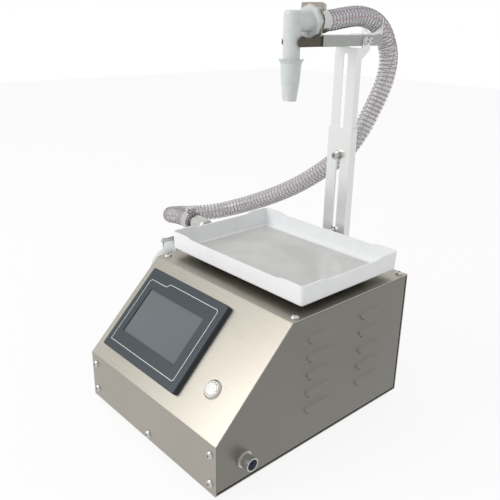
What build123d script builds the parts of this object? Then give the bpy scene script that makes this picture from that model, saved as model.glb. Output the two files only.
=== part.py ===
from build123d import *
from math import acos, cos, degrees, pi, radians, sin, sqrt, tan
import os

os.makedirs("parts", exist_ok=True)

# Honey filling machine for a table: a sheet steel casing with a sloping front, a weighing tray on
# top, a gear pump on its left side, and a mast at the back that holds the filling nozzle.
# X runs to the right, Y to the back, Z up. While the pieces are drawn, X = 0 is the middle of the
# casing, Y = 0 its front face and Z = 0 its underside. At the end the machine is set on its feet,
# over the middle of its footprint.

# Casing
casing_width = 250.0
casing_depth = 310.0
casing_height = 167.0
front_height = 62.0
slope_angle = 45.0
sheet = 1.5
seam = 0.4
flange = 16.0
bend_radius = 2.5
foot_height = 8.0
foot_radius = 10.0
foot_inset = 32.0
floor_flange = 14.0
hole_clearance = 0.2

# Screws, by thread diameter
cover_thread = 5.0
small_thread = 4.0
mast_thread = 6.0
front_screw_inset = 9.0
front_screw_low = 12.0
front_screw_high = 48.0
middle_screw_height = 7.0
top_screw_inset = 8.0
top_screw_front = 11.0
top_screw_rear = 7.0

# Louvres of the right side
louvre_length = 44.5
louvre_height = 9.0
louvre_proud = 4.0
louvre_pitch = 22.7
louvre_rows = 5
louvre_slit = 1.3
louvre_taper = 3.5
louvre_lip = 3.2
louvre_lip_corner = 1.5
louvre_corner = 3.0
louvre_inner_corner = 2.4
louvre_inner_lip = 2.6
louvre_skin = 1.2
louvre_first_y = 153.5
louvre_column_pitch = 89.5
louvre_top_z = 132.0

# Touchscreen, measured along the slope from the front bend
screen_centre_x = -34.0
screen_centre_s = 75.0
bezel_width = 150.0
bezel_height = 114.5
bezel_proud = 7.0
bezel_corner = 2.5
glass_width = 107.5
glass_height = 61.0
glass_recess = 1.2
glass_thickness = 0.9
window_shift = -2.0
case_margin = 5.0
case_depth = 26.0
clamp_block_width = 4.0
clamp_block_length = 12.0
clamp_block_depth = 14.0
clamp_block_pitch = 60.0
cutout_clearance = 0.5

# Push button
button_x = 81.0
button_s = 46.0
button_ring_radius = 11.0
button_ring_proud = 3.0
button_barrel_radius = 9.4
button_barrel_length = 22.0
button_cap_radius = 7.4
button_cap_proud = 0.6
button_nut_radius = 13.5
button_nut_height = 4.0
button_cap_height = 9.0
button_travel = 2.0
button_clearance = 0.15

# Round panel connector on the right side
connector_y = 38.7
connector_z = 29.0
connector_radius = 7.8
connector_length = 12.0
connector_flange_radius = 9.6
connector_flange = 2.0
connector_bore_radius = 6.4
connector_inside = 12.0
connector_depth = 9.0
connector_pin_radius = 0.9
connector_pin_circle = 3.4
connector_pins = 4

# Weighing tray and what carries it
tray_width = 237.0
tray_depth = 171.0
tray_y = 209.5
tray_wall = 1.6
tray_height = 25.0
tray_gap = 8.0
tray_corner = 4.0
tray_flare = 3.0
tray_dip = 2.6
tray_horn = 29.0
tray_dip_run = 15.0
platform_margin = 24.0
platform_thickness = 6.0
post_radius = 14.0
post_clearance = 4.0
riser_length = 30.0
riser_foot = 8.0
cell_length = 120.0
cell_width = 30.0
cell_height = 22.0
cell_top_drop = 16.0
cell_end = 14.0
cell_bore = 7.0
cell_bore_pitch = 28.0
cell_slit = 3.0

# Gear pump, on the left side
pump_y = 182.0
drive_z = 117.5
gear_module = 2.5
gear_teeth = 10
gear_width = 27.8
gear_clearance = 0.1
gear_backlash = 0.4
gear_root_depth = 3.125
pressure_angle = 20.0
pump_wall = 10.0
pump_depth = 38.0
pump_half_width = 36.0
pump_rim = 11.0
pump_cover_depth = 12.0
pump_corner = 5.0
pocket_clearance = 0.1
shaft_radius = 6.0
shaft_clearance = 0.05
bush_radius = 8.5
bush_length = 8.0
port_radius = 5.5
port_length = 8.0
port_clearance = 0.05
channel_radius = 4.5
riser_channel_radius = 4.0
pump_thread = 5.0
pump_screw_grip = 22.0
mount_screw_offset_y = 28.0
mount_screw_offset_z = 22.0
suction_rise = 11.5
suction_offset = 20.0
outlet_offset = 16.0
outlet_rise = 16.75

# Motor behind the pump
standoff_length = 23.0
standoff_radius = 5.0
gearbox_radius = 27.0
gearbox_length = 34.0
motor_radius = 28.0
motor_length = 40.0
coupling_radius = 11.0
coupling_length = 18.0
coupling_gap = 2.0
shaft_end_gap = 1.0
standoff_circle = 22.0

# Moulded hose elbows and the hose
collar_flats = 34.6
collar_thickness = 5.0
elbow_radius = 11.5
elbow_crown = 4.0
crown_rise = 0.3
elbow_bend = 17.0
leg_radius = 10.4
spigot_radius = 9.15
spigot_length = 20.0
spigot_bore = 6.5
elbow_reach = 14.0
suction_reach = 25.0
suction_length = 26.0
locknut_radius = 15.0
locknut_thickness = 3.5
hose_radius = 12.5
hose_bore = 9.5
clamp_width = 12.0
clamp_band = 0.9
clamp_clearance = 0.3
clamp_housing = (13.0, 9.0, 6.0)
clamp_screw_radius = 3.2
nozzle_clamp_y = 260.0
outlet_clamp_x = -177.0

# Mast, arm and nozzle
mast_sheet = 1.5
mast_width = 38.0
mast_flange = 12.0
mast_low = 12.0
mast_lower_top = 333.0
mast_upper_top = 432.0
mast_fit = 0.2
mast_bolt_low = 190.0
mast_bolt_high = 297.0
mast_slot_width = 7.0
mast_upper_bottom = 142.5
upper_slot_bottom = 160.0
upper_slot_top = 421.5
washer_radius = 6.0
washer_thickness = 1.2
spring_washer_thickness = 1.6
mast_screw_offset = 9.0
mast_screw_low = 20.0
mast_screw_high = 50.0
mast_hole_clearance = 0.2
arm_front = 251.0
arm_rear = 364.0
arm_height = 12.5
arm_gap = 2.0
arm_screw_y = 328.0
arm_screw_pitch = 11.5
arm_screw_z = 439.4
arm_screw_gap = 0.15
ear_radius = 5.5
ear_start = 418.0
ear_widest = (429.0, 434.0)
ear_depth = 9.0
bar_height = 10.4
bar_front = 212.0
bar_rear = 352.0
plate_y = 245.0
plate_thickness = 2.0
plate_width = 33.0
plate_height = 38.0
nozzle_y = 214.5
nozzle_rise = 462.0
leg_bottom = 402.0
leg_seam = 441.0
sleeve_top = 420.5
sleeve_bottom = 373.7
sleeve_lip = 15.0
sleeve_shoulder = (12.2, 416.0)
sleeve_waist = (11.0, 397.0)
sleeve_tip = 8.0
sleeve_clearance = 0.1
sleeve_cut_angle = 14.0
cradle_y = 360.0
cradle_foot = 30.0
cradle_top = 464.5
cradle_width = 32.4
cradle_foot_width = 24.0
cradle_hose_z = 463.0
cradle_hose_gap = 1.8

# Rear panel fittings
fitting_z = 40.0
inlet_x = 72.0
inlet_flange = (50.0, 26.0, 3.0)
inlet_body = (28.5, 20.5, 22.0)
inlet_cavity = (24.4, 16.4, 18.0)
inlet_chamfer = 5.0
inlet_screw_pitch = 40.0
pin_size = (2.0, 4.0, 13.0)
pin_pitch = 14.0
pin_offset = 4.0
switch_x = 30.0
switch_flange = (15.0, 25.0, 2.0)
switch_body = (13.0, 21.0, 12.5)
switch_tilt = 9.0
switch_pivot_depth = 1.5
rocker_reach = 8.8
rocker_width = 9.6
rocker_crest = 5.0
rocker_valley = 3.8
rocker_root = 3.0
rocker_clearance = 0.2
rocker_pin_radius = 1.5
rocker_pin_length = 0.8
panel_screw_top = 150.0

# Electronics
board_width = 150.0
board_depth = 84.0
board_y = 100.0
board_thickness = 1.6
standoff_board = 8.0
board_hole_inset = 5.0
supply_width = 99.0
supply_depth = 82.0
supply_height = 34.0
supply_x = -52.0
supply_y = 256.0

# Worked out from the sizes above
half_width = casing_width / 2
slope_run = (casing_height - front_height) / tan(radians(slope_angle))
inset = sheet + seam
slope_plane = Plane(
    origin=(0, 0, front_height),
    x_dir=(1, 0, 0),
    z_dir=(0, -sin(radians(slope_angle)), cos(radians(slope_angle))),
)
gear_pitch_radius = gear_module * gear_teeth / 2
mesh_z = drive_z + gear_pitch_radius
gear_outer_radius = gear_pitch_radius + 0.9 * gear_module
upper_gear_z = mesh_z + gear_pitch_radius
pump_top = upper_gear_z + gear_outer_radius + pump_rim
pump_bottom = drive_z - gear_outer_radius - pump_rim
pump_face_x = -half_width - pump_depth
port_x = -half_width - pump_wall - gear_width / 2
front_screws = [
    (side * (half_width - front_screw_inset), height)
    for side in (-1, 1)
    for height in (front_screw_low, front_screw_high)
]
middle_screws = [(0, middle_screw_height)]
top_screws = [
    (side * (half_width - top_screw_inset), y)
    for side in (-1, 1)
    for y in (slope_run + top_screw_front, casing_depth - top_screw_rear)
]
pump_mounts = [
    (pump_y + side * mount_screw_offset_y, mesh_z + level * mount_screw_offset_z)
    for side in (-1, 1)
    for level in (-1, 1)
]
panel_screws_at = [
    (side * (half_width - front_screw_inset), height)
    for side in (-1, 1)
    for height in (front_screw_low, panel_screw_top)
]
feet = [
    (side * (half_width - foot_inset), y)
    for side in (-1, 1)
    for y in (foot_inset, casing_depth - foot_inset)
]


def casing_outline(shrink):
    """Side view of the casing, drawn inwards by a distance on every edge."""
    with BuildSketch() as outline:
        with BuildLine():
            Polyline(
                (0, 0),
                (0, front_height),
                (slope_run, casing_height),
                (casing_depth, casing_height),
                (casing_depth, 0),
                close=True,
            )
        make_face()
        if shrink > 0:
            offset(amount=-shrink, kind=Kind.INTERSECTION)
    return outline.sketch


def button_screw(thread, length):
    """A domed socket screw seated on Z = 0, with its shank below."""
    head_radius = 0.95 * thread
    head_height = 0.55 * thread
    with BuildPart() as screw:
        with BuildSketch(Plane.XZ):
            with BuildLine():
                Line((0, 0), (head_radius, 0))
                Line((head_radius, 0), (head_radius, 0.2 * head_height))
                ThreePointArc(
                    (head_radius, 0.2 * head_height),
                    (0.72 * head_radius, 0.78 * head_height),
                    (0.36 * head_radius, head_height),
                )
                Line((0.36 * head_radius, head_height), (0, head_height))
                Line((0, head_height), (0, 0))
            make_face()
        revolve(axis=Axis.Z)
        with BuildSketch(Plane.XY.offset(head_height)):
            RegularPolygon(radius=0.33 * thread, side_count=6)
        extrude(amount=-0.6 * head_height, mode=Mode.SUBTRACT)
        with BuildSketch(Plane.XY):
            Circle(thread / 2)
        extrude(amount=-length)
    return screw.part


def socket_screw(thread, length):
    """A cylinder-head socket screw seated on Z = 0, with its shank below."""
    head_radius = 0.83 * thread
    with BuildPart() as screw:
        with BuildSketch(Plane.XY):
            Circle(head_radius)
        extrude(amount=thread)
        chamfer(screw.edges().sort_by(Axis.Z)[-1], length=0.08 * thread)
        with BuildSketch(Plane.XY.offset(thread)):
            RegularPolygon(radius=0.48 * thread, side_count=6)
        extrude(amount=-0.55 * thread, mode=Mode.SUBTRACT)
        with BuildSketch(Plane.XY):
            Circle(thread / 2)
        extrude(amount=-length)
    return screw.part


def hex_nut(thread, height):
    """A hexagon nut with chamfered corners, standing on Z = 0."""
    across = 1.65 * thread
    with BuildPart() as nut:
        with BuildSketch(Plane.XY):
            RegularPolygon(radius=across / 2, side_count=6, major_radius=False)
            Circle(thread / 2 + 0.02, mode=Mode.SUBTRACT)
        extrude(amount=height)
    return nut.part


# Front cover: one sheet bent twice, from the front panel over the slope to the top
with BuildPart() as front_cover:
    with BuildSketch(Plane.YZ.offset(-half_width)):
        add(casing_outline(0))
    extrude(amount=casing_width)
    bends = front_cover.edges().filter_by(Axis.X).filter_by(
        lambda edge: edge.center().Y < slope_run + 1 and edge.center().Z > 1
    )
    fillet(bends, radius=bend_radius)
    with BuildSketch(Plane.YZ.offset(-half_width)):
        add(casing_outline(sheet))
        with Locations(((sheet + casing_depth) / 2, 0)):
            Rectangle(casing_depth - sheet, 4 * sheet)
        with Locations((casing_depth, (casing_height - sheet) / 2)):
            Rectangle(4 * sheet, casing_height - sheet)
    extrude(amount=casing_width, mode=Mode.SUBTRACT)
    with BuildSketch(slope_plane.offset(1)):
        with Locations((screen_centre_x, screen_centre_s)):
            Rectangle(
                bezel_width - 2 * case_margin + 2 * cutout_clearance,
                bezel_height - 2 * case_margin + 2 * cutout_clearance,
            )
        with Locations((button_x, button_s)):
            Circle(button_barrel_radius + hole_clearance)
    extrude(amount=-3 * sheet, mode=Mode.SUBTRACT)
    with BuildSketch(Plane.XZ.offset(1)):
        with Locations(*front_screws, *middle_screws):
            Circle(cover_thread / 2 + hole_clearance)
    extrude(amount=-3 * sheet, mode=Mode.SUBTRACT)
    with BuildSketch(Plane.XY.offset(casing_height + 1)):
        with Locations(*top_screws):
            Circle(cover_thread / 2 + hole_clearance)
        with Locations((0, tray_y)):
            Circle(post_radius + post_clearance)
    extrude(amount=-3 * sheet, mode=Mode.SUBTRACT)


def side_pan():
    """The bare right side: a sheet with its edges turned in all round, holes for the cover screws."""
    with BuildPart() as pan:
        with BuildSketch(Plane.YZ.offset(half_width - flange)):
            add(casing_outline(inset))
        extrude(amount=flange)
        fillet(pan.faces().sort_by(Axis.X)[-1].edges(), radius=bend_radius)
        offset(amount=-sheet, openings=pan.faces().sort_by(Axis.X)[0])
        with BuildSketch(Plane.XZ):
            with Locations(*front_screws):
                Circle(cover_thread / 2 + hole_clearance)
        extrude(amount=-inset - 2 * sheet, mode=Mode.SUBTRACT)
        with BuildSketch(Plane.XZ.offset(-casing_depth)):
            with Locations(*panel_screws_at):
                Circle(cover_thread / 2 + hole_clearance)
        extrude(amount=inset + 2 * sheet, mode=Mode.SUBTRACT)
        with BuildSketch(Plane.XY.offset(casing_height)):
            with Locations(*top_screws):
                Circle(cover_thread / 2 + hole_clearance)
        extrude(amount=-inset - 2 * sheet, mode=Mode.SUBTRACT)
    return pan.part


# Right side panel, with two columns of louvres pressed out of the sheet
louvre_places = [
    (louvre_first_y + column * louvre_column_pitch, louvre_top_z - row * louvre_pitch)
    for column in range(2)
    for row in range(louvre_rows)
]
with BuildPart() as louvre_outside:
    with BuildSketch(Plane.YZ.offset(half_width - sheet / 2)):
        with Locations((0, louvre_height / 2)):
            RectangleRounded(louvre_length, louvre_height, louvre_corner)
    with BuildSketch(Plane.YZ.offset(half_width + louvre_proud)):
        with Locations((0, louvre_lip / 2)):
            RectangleRounded(louvre_length - 2 * louvre_taper, louvre_lip, louvre_lip_corner)
    loft()
with BuildPart() as louvre_inside:
    with BuildSketch(Plane.YZ.offset(half_width - 2 * sheet)):
        with Locations((0, louvre_height / 2 - louvre_slit)):
            RectangleRounded(louvre_length - 2 * louvre_slit, louvre_height, louvre_inner_corner)
    with BuildSketch(Plane.YZ.offset(half_width + louvre_proud - louvre_skin)):
        with Locations((0, louvre_inner_lip / 2 - louvre_slit)):
            RectangleRounded(louvre_length - 2 * louvre_taper, louvre_inner_lip, louvre_skin)
    loft()
with BuildPart() as right_side_panel:
    add(side_pan())
    with Locations(*[(0, y, z) for y, z in louvre_places]):
        add(louvre_outside.part)
    with Locations(*[(0, y, z) for y, z in louvre_places]):
        add(louvre_inside.part, mode=Mode.SUBTRACT)
    with BuildSketch(Plane.YZ.offset(half_width + 1)):
        with Locations((connector_y, connector_z)):
            Circle(connector_radius + hole_clearance)
    extrude(amount=-3 * sheet, mode=Mode.SUBTRACT)

# Left side panel, the mirrored sheet, which carries the pump
with BuildPart() as left_side_panel:
    add(mirror(side_pan(), about=Plane.YZ))
    with BuildSketch(Plane.YZ.offset(-half_width - 1)):
        with Locations(*pump_mounts):
            Circle(pump_thread / 2 + hole_clearance)
        with Locations((pump_y, drive_z)):
            Circle(bush_radius)
    extrude(amount=3 * sheet, mode=Mode.SUBTRACT)

# Rear panel, with the openings for the mains inlet and the switch
with BuildPart() as rear_panel:
    with BuildSketch(Plane.XZ.offset(-casing_depth)):
        with Locations((0, (casing_height - inset) / 2)):
            Rectangle(casing_width, casing_height - inset)
        with Locations((inlet_x, fitting_z)):
            Rectangle(
                inlet_body[0] + cutout_clearance,
                inlet_body[1] + cutout_clearance,
                mode=Mode.SUBTRACT,
            )
        with Locations((switch_x, fitting_z)):
            Rectangle(
                switch_body[0] + cutout_clearance,
                switch_body[1] + cutout_clearance,
                mode=Mode.SUBTRACT,
            )
        with Locations(*panel_screws_at):
            Circle(cover_thread / 2 + hole_clearance, mode=Mode.SUBTRACT)
        with Locations(*[(inlet_x + side * inlet_screw_pitch / 2, fitting_z) for side in (-1, 1)]):
            Circle(small_thread / 2 + hole_clearance, mode=Mode.SUBTRACT)
        with Locations((0, (mast_screw_low + mast_screw_high) / 2)):
            with GridLocations(2 * mast_screw_offset, mast_screw_high - mast_screw_low, 2, 2):
                Circle(small_thread / 2 + hole_clearance, mode=Mode.SUBTRACT)
    extrude(amount=sheet)

# Base plate: the floor sheet with its front and rear edges turned up
with BuildPart() as base_plate:
    with BuildSketch(Plane.XY):
        with Locations((0, casing_depth / 2)):
            Rectangle(casing_width, casing_depth - 2 * inset)
        with Locations(*feet):
            Circle(small_thread / 2 + hole_clearance, mode=Mode.SUBTRACT)
    extrude(amount=sheet)
    with BuildSketch(Plane.XY.offset(sheet)):
        with Locations((0, inset + sheet / 2), (0, casing_depth - inset - sheet / 2)):
            Rectangle(casing_width - 2 * flange - 4 * sheet, sheet)
    extrude(amount=floor_flange - sheet)
    with BuildSketch(Plane.XZ):
        with Locations(*middle_screws):
            Circle(cover_thread / 2 + hole_clearance)
    extrude(amount=-inset - 2 * sheet, mode=Mode.SUBTRACT)

# Rubber feet, tapered, each with a recess for its screw
foot_recess = foot_height / 2
with BuildPart() as rubber_feet:
    with BuildSketch(Plane.XY):
        with Locations(*feet):
            Circle(foot_radius)
    extrude(amount=-foot_height, taper=8)
    with BuildSketch(Plane.XY.offset(-foot_height)):
        with Locations(*feet):
            Circle(foot_radius / 2)
    extrude(amount=foot_recess, mode=Mode.SUBTRACT)
    with BuildSketch(Plane.XY):
        with Locations(*feet):
            Circle(small_thread / 2 + hole_clearance)
    extrude(amount=-foot_height, mode=Mode.SUBTRACT)

# Domed screws of the cover, of the rear panel and, from the inside, of the pump
with BuildPart() as cover_screws:
    with Locations(*[Location((x, 0, z), (90, 0, 0)) for x, z in front_screws + middle_screws]):
        add(button_screw(cover_thread, inset + 3 * sheet))
    with Locations(*[Location((x, y, casing_height)) for x, y in top_screws]):
        add(button_screw(cover_thread, inset + 3 * sheet))
    with Locations(*[Location((x, casing_depth, z), (-90, 0, 0)) for x, z in panel_screws_at]):
        add(button_screw(cover_thread, inset + 3 * sheet))
    with Locations(*[Location((-half_width + sheet, y, z), (0, 90, 0)) for y, z in pump_mounts]):
        add(button_screw(pump_thread, sheet + bush_length - hole_clearance))

# Touchscreen: bezel outside, glass in its window, case through the cut-out, clamps under the sheet
case_width = bezel_width - 2 * case_margin
case_height = bezel_height - 2 * case_margin
with BuildPart() as touchscreen_bezel:
    with BuildSketch(slope_plane):
        with Locations((screen_centre_x, screen_centre_s)):
            RectangleRounded(bezel_width, bezel_height, bezel_corner)
    extrude(amount=bezel_proud)
    outer = bezel_proud - bezel_corner / 2
    rim = touchscreen_bezel.edges().filter_by(
        lambda edge: slope_plane.to_local_coords(edge.center()).Z > outer
    )
    fillet(rim, radius=0.6 * bezel_corner)
    with BuildSketch(slope_plane.offset(bezel_proud)):
        with Locations((screen_centre_x + window_shift, screen_centre_s)):
            Rectangle(glass_width, glass_height)
    extrude(amount=-glass_recess - glass_thickness, mode=Mode.SUBTRACT)
with BuildPart() as touchscreen_glass:
    with BuildSketch(slope_plane.offset(bezel_proud - glass_recess)):
        with Locations((screen_centre_x + window_shift, screen_centre_s)):
            Rectangle(glass_width, glass_height)
    extrude(amount=-glass_thickness)
with BuildPart() as touchscreen_case:
    with BuildSketch(slope_plane):
        with Locations((screen_centre_x, screen_centre_s)):
            Rectangle(case_width, case_height)
    extrude(amount=-case_depth / 2)
    with BuildSketch(slope_plane.offset(-case_depth / 2)):
        with Locations((screen_centre_x, screen_centre_s)):
            Rectangle(case_width, case_height)
    extrude(amount=-case_depth / 2, taper=12)
clamp_block_x = case_width + clamp_block_width
with BuildPart() as touchscreen_clamps:
    with BuildSketch(slope_plane.offset(-sheet)):
        with Locations((screen_centre_x, screen_centre_s)):
            with GridLocations(clamp_block_x, clamp_block_pitch, 2, 2):
                Rectangle(clamp_block_width, clamp_block_length)
    extrude(amount=-clamp_block_depth)

# Push button: housing through the slope, nut under it, white cap in it
button_cap_top = button_ring_proud + button_cap_proud
with BuildPart() as button_housing:
    with BuildSketch(slope_plane):
        with Locations((button_x, button_s)):
            Circle(button_ring_radius)
    extrude(amount=button_ring_proud)
    ring_edge = button_housing.edges().filter_by(
        lambda edge: slope_plane.to_local_coords(edge.center()).Z > button_ring_proud / 2
    )
    chamfer(ring_edge, length=0.75 * button_ring_proud)
    with BuildSketch(slope_plane):
        with Locations((button_x, button_s)):
            Circle(button_barrel_radius)
    extrude(amount=-button_barrel_length)
    with BuildSketch(slope_plane.offset(button_ring_proud)):
        with Locations((button_x, button_s)):
            Circle(button_cap_radius + button_clearance)
    extrude(
        amount=-button_cap_height - button_travel - button_clearance + button_cap_proud,
        mode=Mode.SUBTRACT,
    )
with BuildPart() as button_nut:
    with BuildSketch(slope_plane.offset(-sheet)):
        with Locations((button_x, button_s)):
            RegularPolygon(radius=button_nut_radius, side_count=6, major_radius=False)
            Circle(button_barrel_radius, mode=Mode.SUBTRACT)
    extrude(amount=-button_nut_height)
with BuildPart() as button_cap:
    with BuildSketch(slope_plane.offset(button_cap_top)):
        with Locations((button_x, button_s)):
            Circle(button_cap_radius)
    extrude(amount=-button_cap_height)
    cap_edge = button_cap.edges().filter_by(
        lambda edge: slope_plane.to_local_coords(edge.center()).Z > button_cap_top - button_clearance
    )
    fillet(cap_edge, radius=button_cap_radius / 10)

# Round connector: shell, insert with its pins, nut behind the sheet
connector_face = half_width + connector_flange + connector_length
with BuildPart() as connector_shell:
    with BuildSketch(Plane.YZ.offset(half_width - connector_inside)):
        with Locations((connector_y, connector_z)):
            Circle(connector_radius)
    extrude(amount=connector_face - half_width + connector_inside)
    with BuildSketch(Plane.YZ.offset(half_width)):
        with Locations((connector_y, connector_z)):
            Circle(connector_flange_radius)
    extrude(amount=connector_flange)
    with BuildSketch(Plane.YZ.offset(connector_face)):
        with Locations((connector_y, connector_z)):
            Circle(connector_bore_radius)
    extrude(amount=-connector_depth - connector_flange, mode=Mode.SUBTRACT)
with BuildPart() as connector_insert:
    with BuildSketch(Plane.YZ.offset(connector_face - connector_depth - connector_flange)):
        with Locations((connector_y, connector_z)):
            Circle(connector_bore_radius)
    extrude(amount=connector_flange)
    with BuildSketch(Plane.YZ.offset(connector_face - connector_depth)):
        with Locations((connector_y, connector_z)):
            with PolarLocations(connector_pin_circle, connector_pins):
                Circle(connector_pin_radius)
    extrude(amount=connector_depth / 2)
with BuildPart() as connector_nut:
    with BuildSketch(Plane.YZ.offset(half_width - sheet)):
        with Locations((connector_y, connector_z)):
            RegularPolygon(radius=connector_flange_radius + sheet, side_count=6, major_radius=False)
            Circle(connector_radius, mode=Mode.SUBTRACT)
    extrude(amount=-2 * sheet)

# Weighing: a bending load cell on a riser, a post through the cover, the platform under the tray
cell_top = casing_height - cell_top_drop
tray_bottom = casing_height + tray_gap
riser_x = cell_length - cell_end - riser_length / 2
with BuildPart() as load_cell:
    with BuildSketch(Plane.XZ.offset(-tray_y + cell_width / 2)):
        with Locations((cell_length / 2 - cell_end, cell_top - cell_height / 2)):
            Rectangle(cell_length, cell_height)
            with GridLocations(cell_bore_pitch, 0, 2, 1):
                Circle(cell_bore, mode=Mode.SUBTRACT)
            Rectangle(cell_bore_pitch, cell_slit, mode=Mode.SUBTRACT)
    extrude(amount=-cell_width)
with BuildPart() as load_cell_riser:
    with BuildSketch(Plane.XZ.offset(-tray_y + cell_width / 2)):
        with Locations((riser_x, (sheet + cell_top - cell_height) / 2)):
            Rectangle(riser_length / 2, cell_top - cell_height - sheet)
        with Locations((riser_x, sheet + riser_foot / 2)):
            Rectangle(riser_length, riser_foot)
        with Locations((riser_x, cell_top - cell_height - riser_foot / 2)):
            Rectangle(riser_length, riser_foot)
    extrude(amount=-cell_width)
with BuildPart() as weigh_post:
    with BuildSketch(Plane.XY.offset(cell_top)):
        with Locations((0, tray_y)):
            Circle(post_radius)
    extrude(amount=tray_bottom - platform_thickness - cell_top)
with BuildPart() as weigh_platform:
    with BuildSketch(Plane.XY.offset(tray_bottom - platform_thickness)):
        with Locations((0, tray_y)):
            RectangleRounded(
                tray_width - 2 * platform_margin,
                tray_depth - 2 * platform_margin,
                2 * tray_corner,
            )
    extrude(amount=platform_thickness)

# Tray: a flared pan whose rim dips in the middle of each side, which leaves a raised corner at each end
tray_spread = 2 * tray_height * tan(radians(tray_flare))
tray_top = tray_bottom + tray_height
with BuildPart() as tray:
    with BuildSketch(Plane.XY.offset(tray_bottom)):
        with Locations((0, tray_y)):
            RectangleRounded(tray_width - tray_spread, tray_depth - tray_spread, tray_corner)
    extrude(amount=tray_height, taper=-tray_flare)
    fillet(tray.faces().sort_by(Axis.Z)[0].edges(), radius=2 * tray_wall)
    with BuildSketch(Plane.XY.offset(tray_bottom + tray_wall)):
        with Locations((0, tray_y)):
            RectangleRounded(
                tray_width - tray_spread - 2 * tray_wall,
                tray_depth - tray_spread - 2 * tray_wall,
                tray_corner - tray_wall,
            )
    extrude(amount=tray_height, taper=-tray_flare, mode=Mode.SUBTRACT)
    for middle, half_side, plane in (
        (0, tray_width / 2, Plane.XZ),
        (tray_y, tray_depth / 2, Plane.YZ),
    ):
        dip_start = half_side - tray_horn
        dip_end = dip_start - tray_dip_run
        low = tray_top - tray_dip
        with BuildSketch(plane):
            with BuildLine():
                Spline(
                    (middle - dip_start, tray_top),
                    (middle - dip_end, low),
                    tangents=[(1, 0), (1, 0)],
                )
                Line((middle - dip_end, low), (middle + dip_end, low))
                Spline(
                    (middle + dip_end, low),
                    (middle + dip_start, tray_top),
                    tangents=[(1, 0), (1, 0)],
                )
                Line((middle + dip_start, tray_top), (middle - dip_start, tray_top))
            make_face()
        extrude(amount=2 * casing_depth, both=True, mode=Mode.SUBTRACT)

# Electronics: control board on its standoffs, power supply behind it
board_bottom = sheet + standoff_board
with BuildPart() as board_standoffs:
    with BuildSketch(Plane.XY.offset(sheet)):
        with Locations((0, board_y)):
            with GridLocations(board_width - 2 * board_hole_inset, board_depth - 2 * board_hole_inset, 2, 2):
                Circle(0.75 * small_thread)
    extrude(amount=standoff_board)
with BuildPart() as control_board:
    with BuildSketch(Plane.XY.offset(board_bottom)):
        with Locations((0, board_y)):
            RectangleRounded(board_width, board_depth, 2)
    extrude(amount=board_thickness)
    with BuildSketch(Plane.XY.offset(board_bottom + board_thickness)):
        with Locations((0, board_y + board_depth / 2 - 2 * board_hole_inset)):
            Rectangle(board_width / 2, 1.5 * board_hole_inset)
        with Locations((-board_width / 4, board_y)):
            with GridLocations(4 * board_hole_inset, 0, 3, 1):
                Rectangle(3 * board_hole_inset, 4 * board_hole_inset)
        with Locations((board_width / 4, board_y)):
            with GridLocations(4 * board_hole_inset, 4 * board_hole_inset, 2, 2):
                Circle(1.2 * board_hole_inset)
    extrude(amount=3 * board_hole_inset)
with BuildPart() as power_supply:
    with BuildSketch(Plane.XY.offset(sheet)):
        with Locations((supply_x, supply_y)):
            Rectangle(supply_width, supply_depth)
    extrude(amount=supply_height)
    with BuildSketch(Plane.XY.offset(sheet + supply_height)):
        with Locations((supply_x, supply_y)):
            with GridLocations(supply_width / 7, supply_depth / 4, 6, 3):
                Circle(supply_width / 30)
    extrude(amount=-sheet, mode=Mode.SUBTRACT)

# Mains inlet with its three blades, and its screws
inlet_front = casing_depth + inlet_flange[2]
with BuildPart() as mains_inlet:
    with BuildSketch(Plane.XZ.offset(-casing_depth)):
        with Locations((inlet_x, fitting_z)):
            RectangleRounded(inlet_flange[0], inlet_flange[1], inlet_chamfer)
    extrude(amount=-inlet_flange[2])
    with BuildSketch(Plane.XZ.offset(-casing_depth)):
        with Locations((inlet_x, fitting_z)):
            Rectangle(inlet_body[0], inlet_body[1])
    extrude(amount=inlet_body[2])
    with BuildSketch(Plane.XZ.offset(-inlet_front)):
        with Locations((inlet_x, fitting_z)):
            Rectangle(inlet_cavity[0], inlet_cavity[1])
        chamfer(vertices().group_by(Axis.Y)[-1], length=inlet_chamfer)
    extrude(amount=inlet_cavity[2], mode=Mode.SUBTRACT)
    with BuildSketch(Plane.XZ.offset(-inlet_front + inlet_cavity[2])):
        with Locations(
            (inlet_x - pin_pitch / 2, fitting_z - pin_offset / 2),
            (inlet_x, fitting_z + pin_offset / 2),
            (inlet_x + pin_pitch / 2, fitting_z - pin_offset / 2),
        ):
            Rectangle(pin_size[0], pin_size[1])
    extrude(amount=-pin_size[2])
    with BuildSketch(Plane.XZ.offset(-inlet_front)):
        with Locations(*[(inlet_x + side * inlet_screw_pitch / 2, fitting_z) for side in (-1, 1)]):
            Circle(small_thread / 2 + hole_clearance)
    extrude(amount=inlet_flange[2], mode=Mode.SUBTRACT)

# Mains switch: housing and its rocker on two pins
pivot_y = casing_depth - switch_pivot_depth
with BuildPart() as switch_housing:
    with BuildSketch(Plane.XZ.offset(-casing_depth)):
        with Locations((switch_x, fitting_z)):
            RectangleRounded(switch_flange[0], switch_flange[1], 1)
    extrude(amount=-switch_flange[2])
    with BuildSketch(Plane.XZ.offset(-casing_depth)):
        with Locations((switch_x, fitting_z)):
            Rectangle(switch_body[0], switch_body[1])
    extrude(amount=switch_body[2])
    with BuildSketch(Plane.XZ.offset(-casing_depth - switch_flange[2])):
        with Locations((switch_x, fitting_z)):
            Rectangle(rocker_width + 2 * rocker_clearance, 2 * (rocker_reach + rocker_clearance))
    extrude(
        amount=switch_flange[2] + switch_pivot_depth + rocker_root + 2 * rocker_pin_radius,
        mode=Mode.SUBTRACT,
    )
    with BuildSketch(Plane.YZ.offset(switch_x - rocker_width / 2 - rocker_pin_length)):
        with Locations((pivot_y, fitting_z)):
            Circle(rocker_pin_radius + rocker_clearance / 4)
    extrude(amount=rocker_width + 2 * rocker_pin_length, mode=Mode.SUBTRACT)
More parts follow.
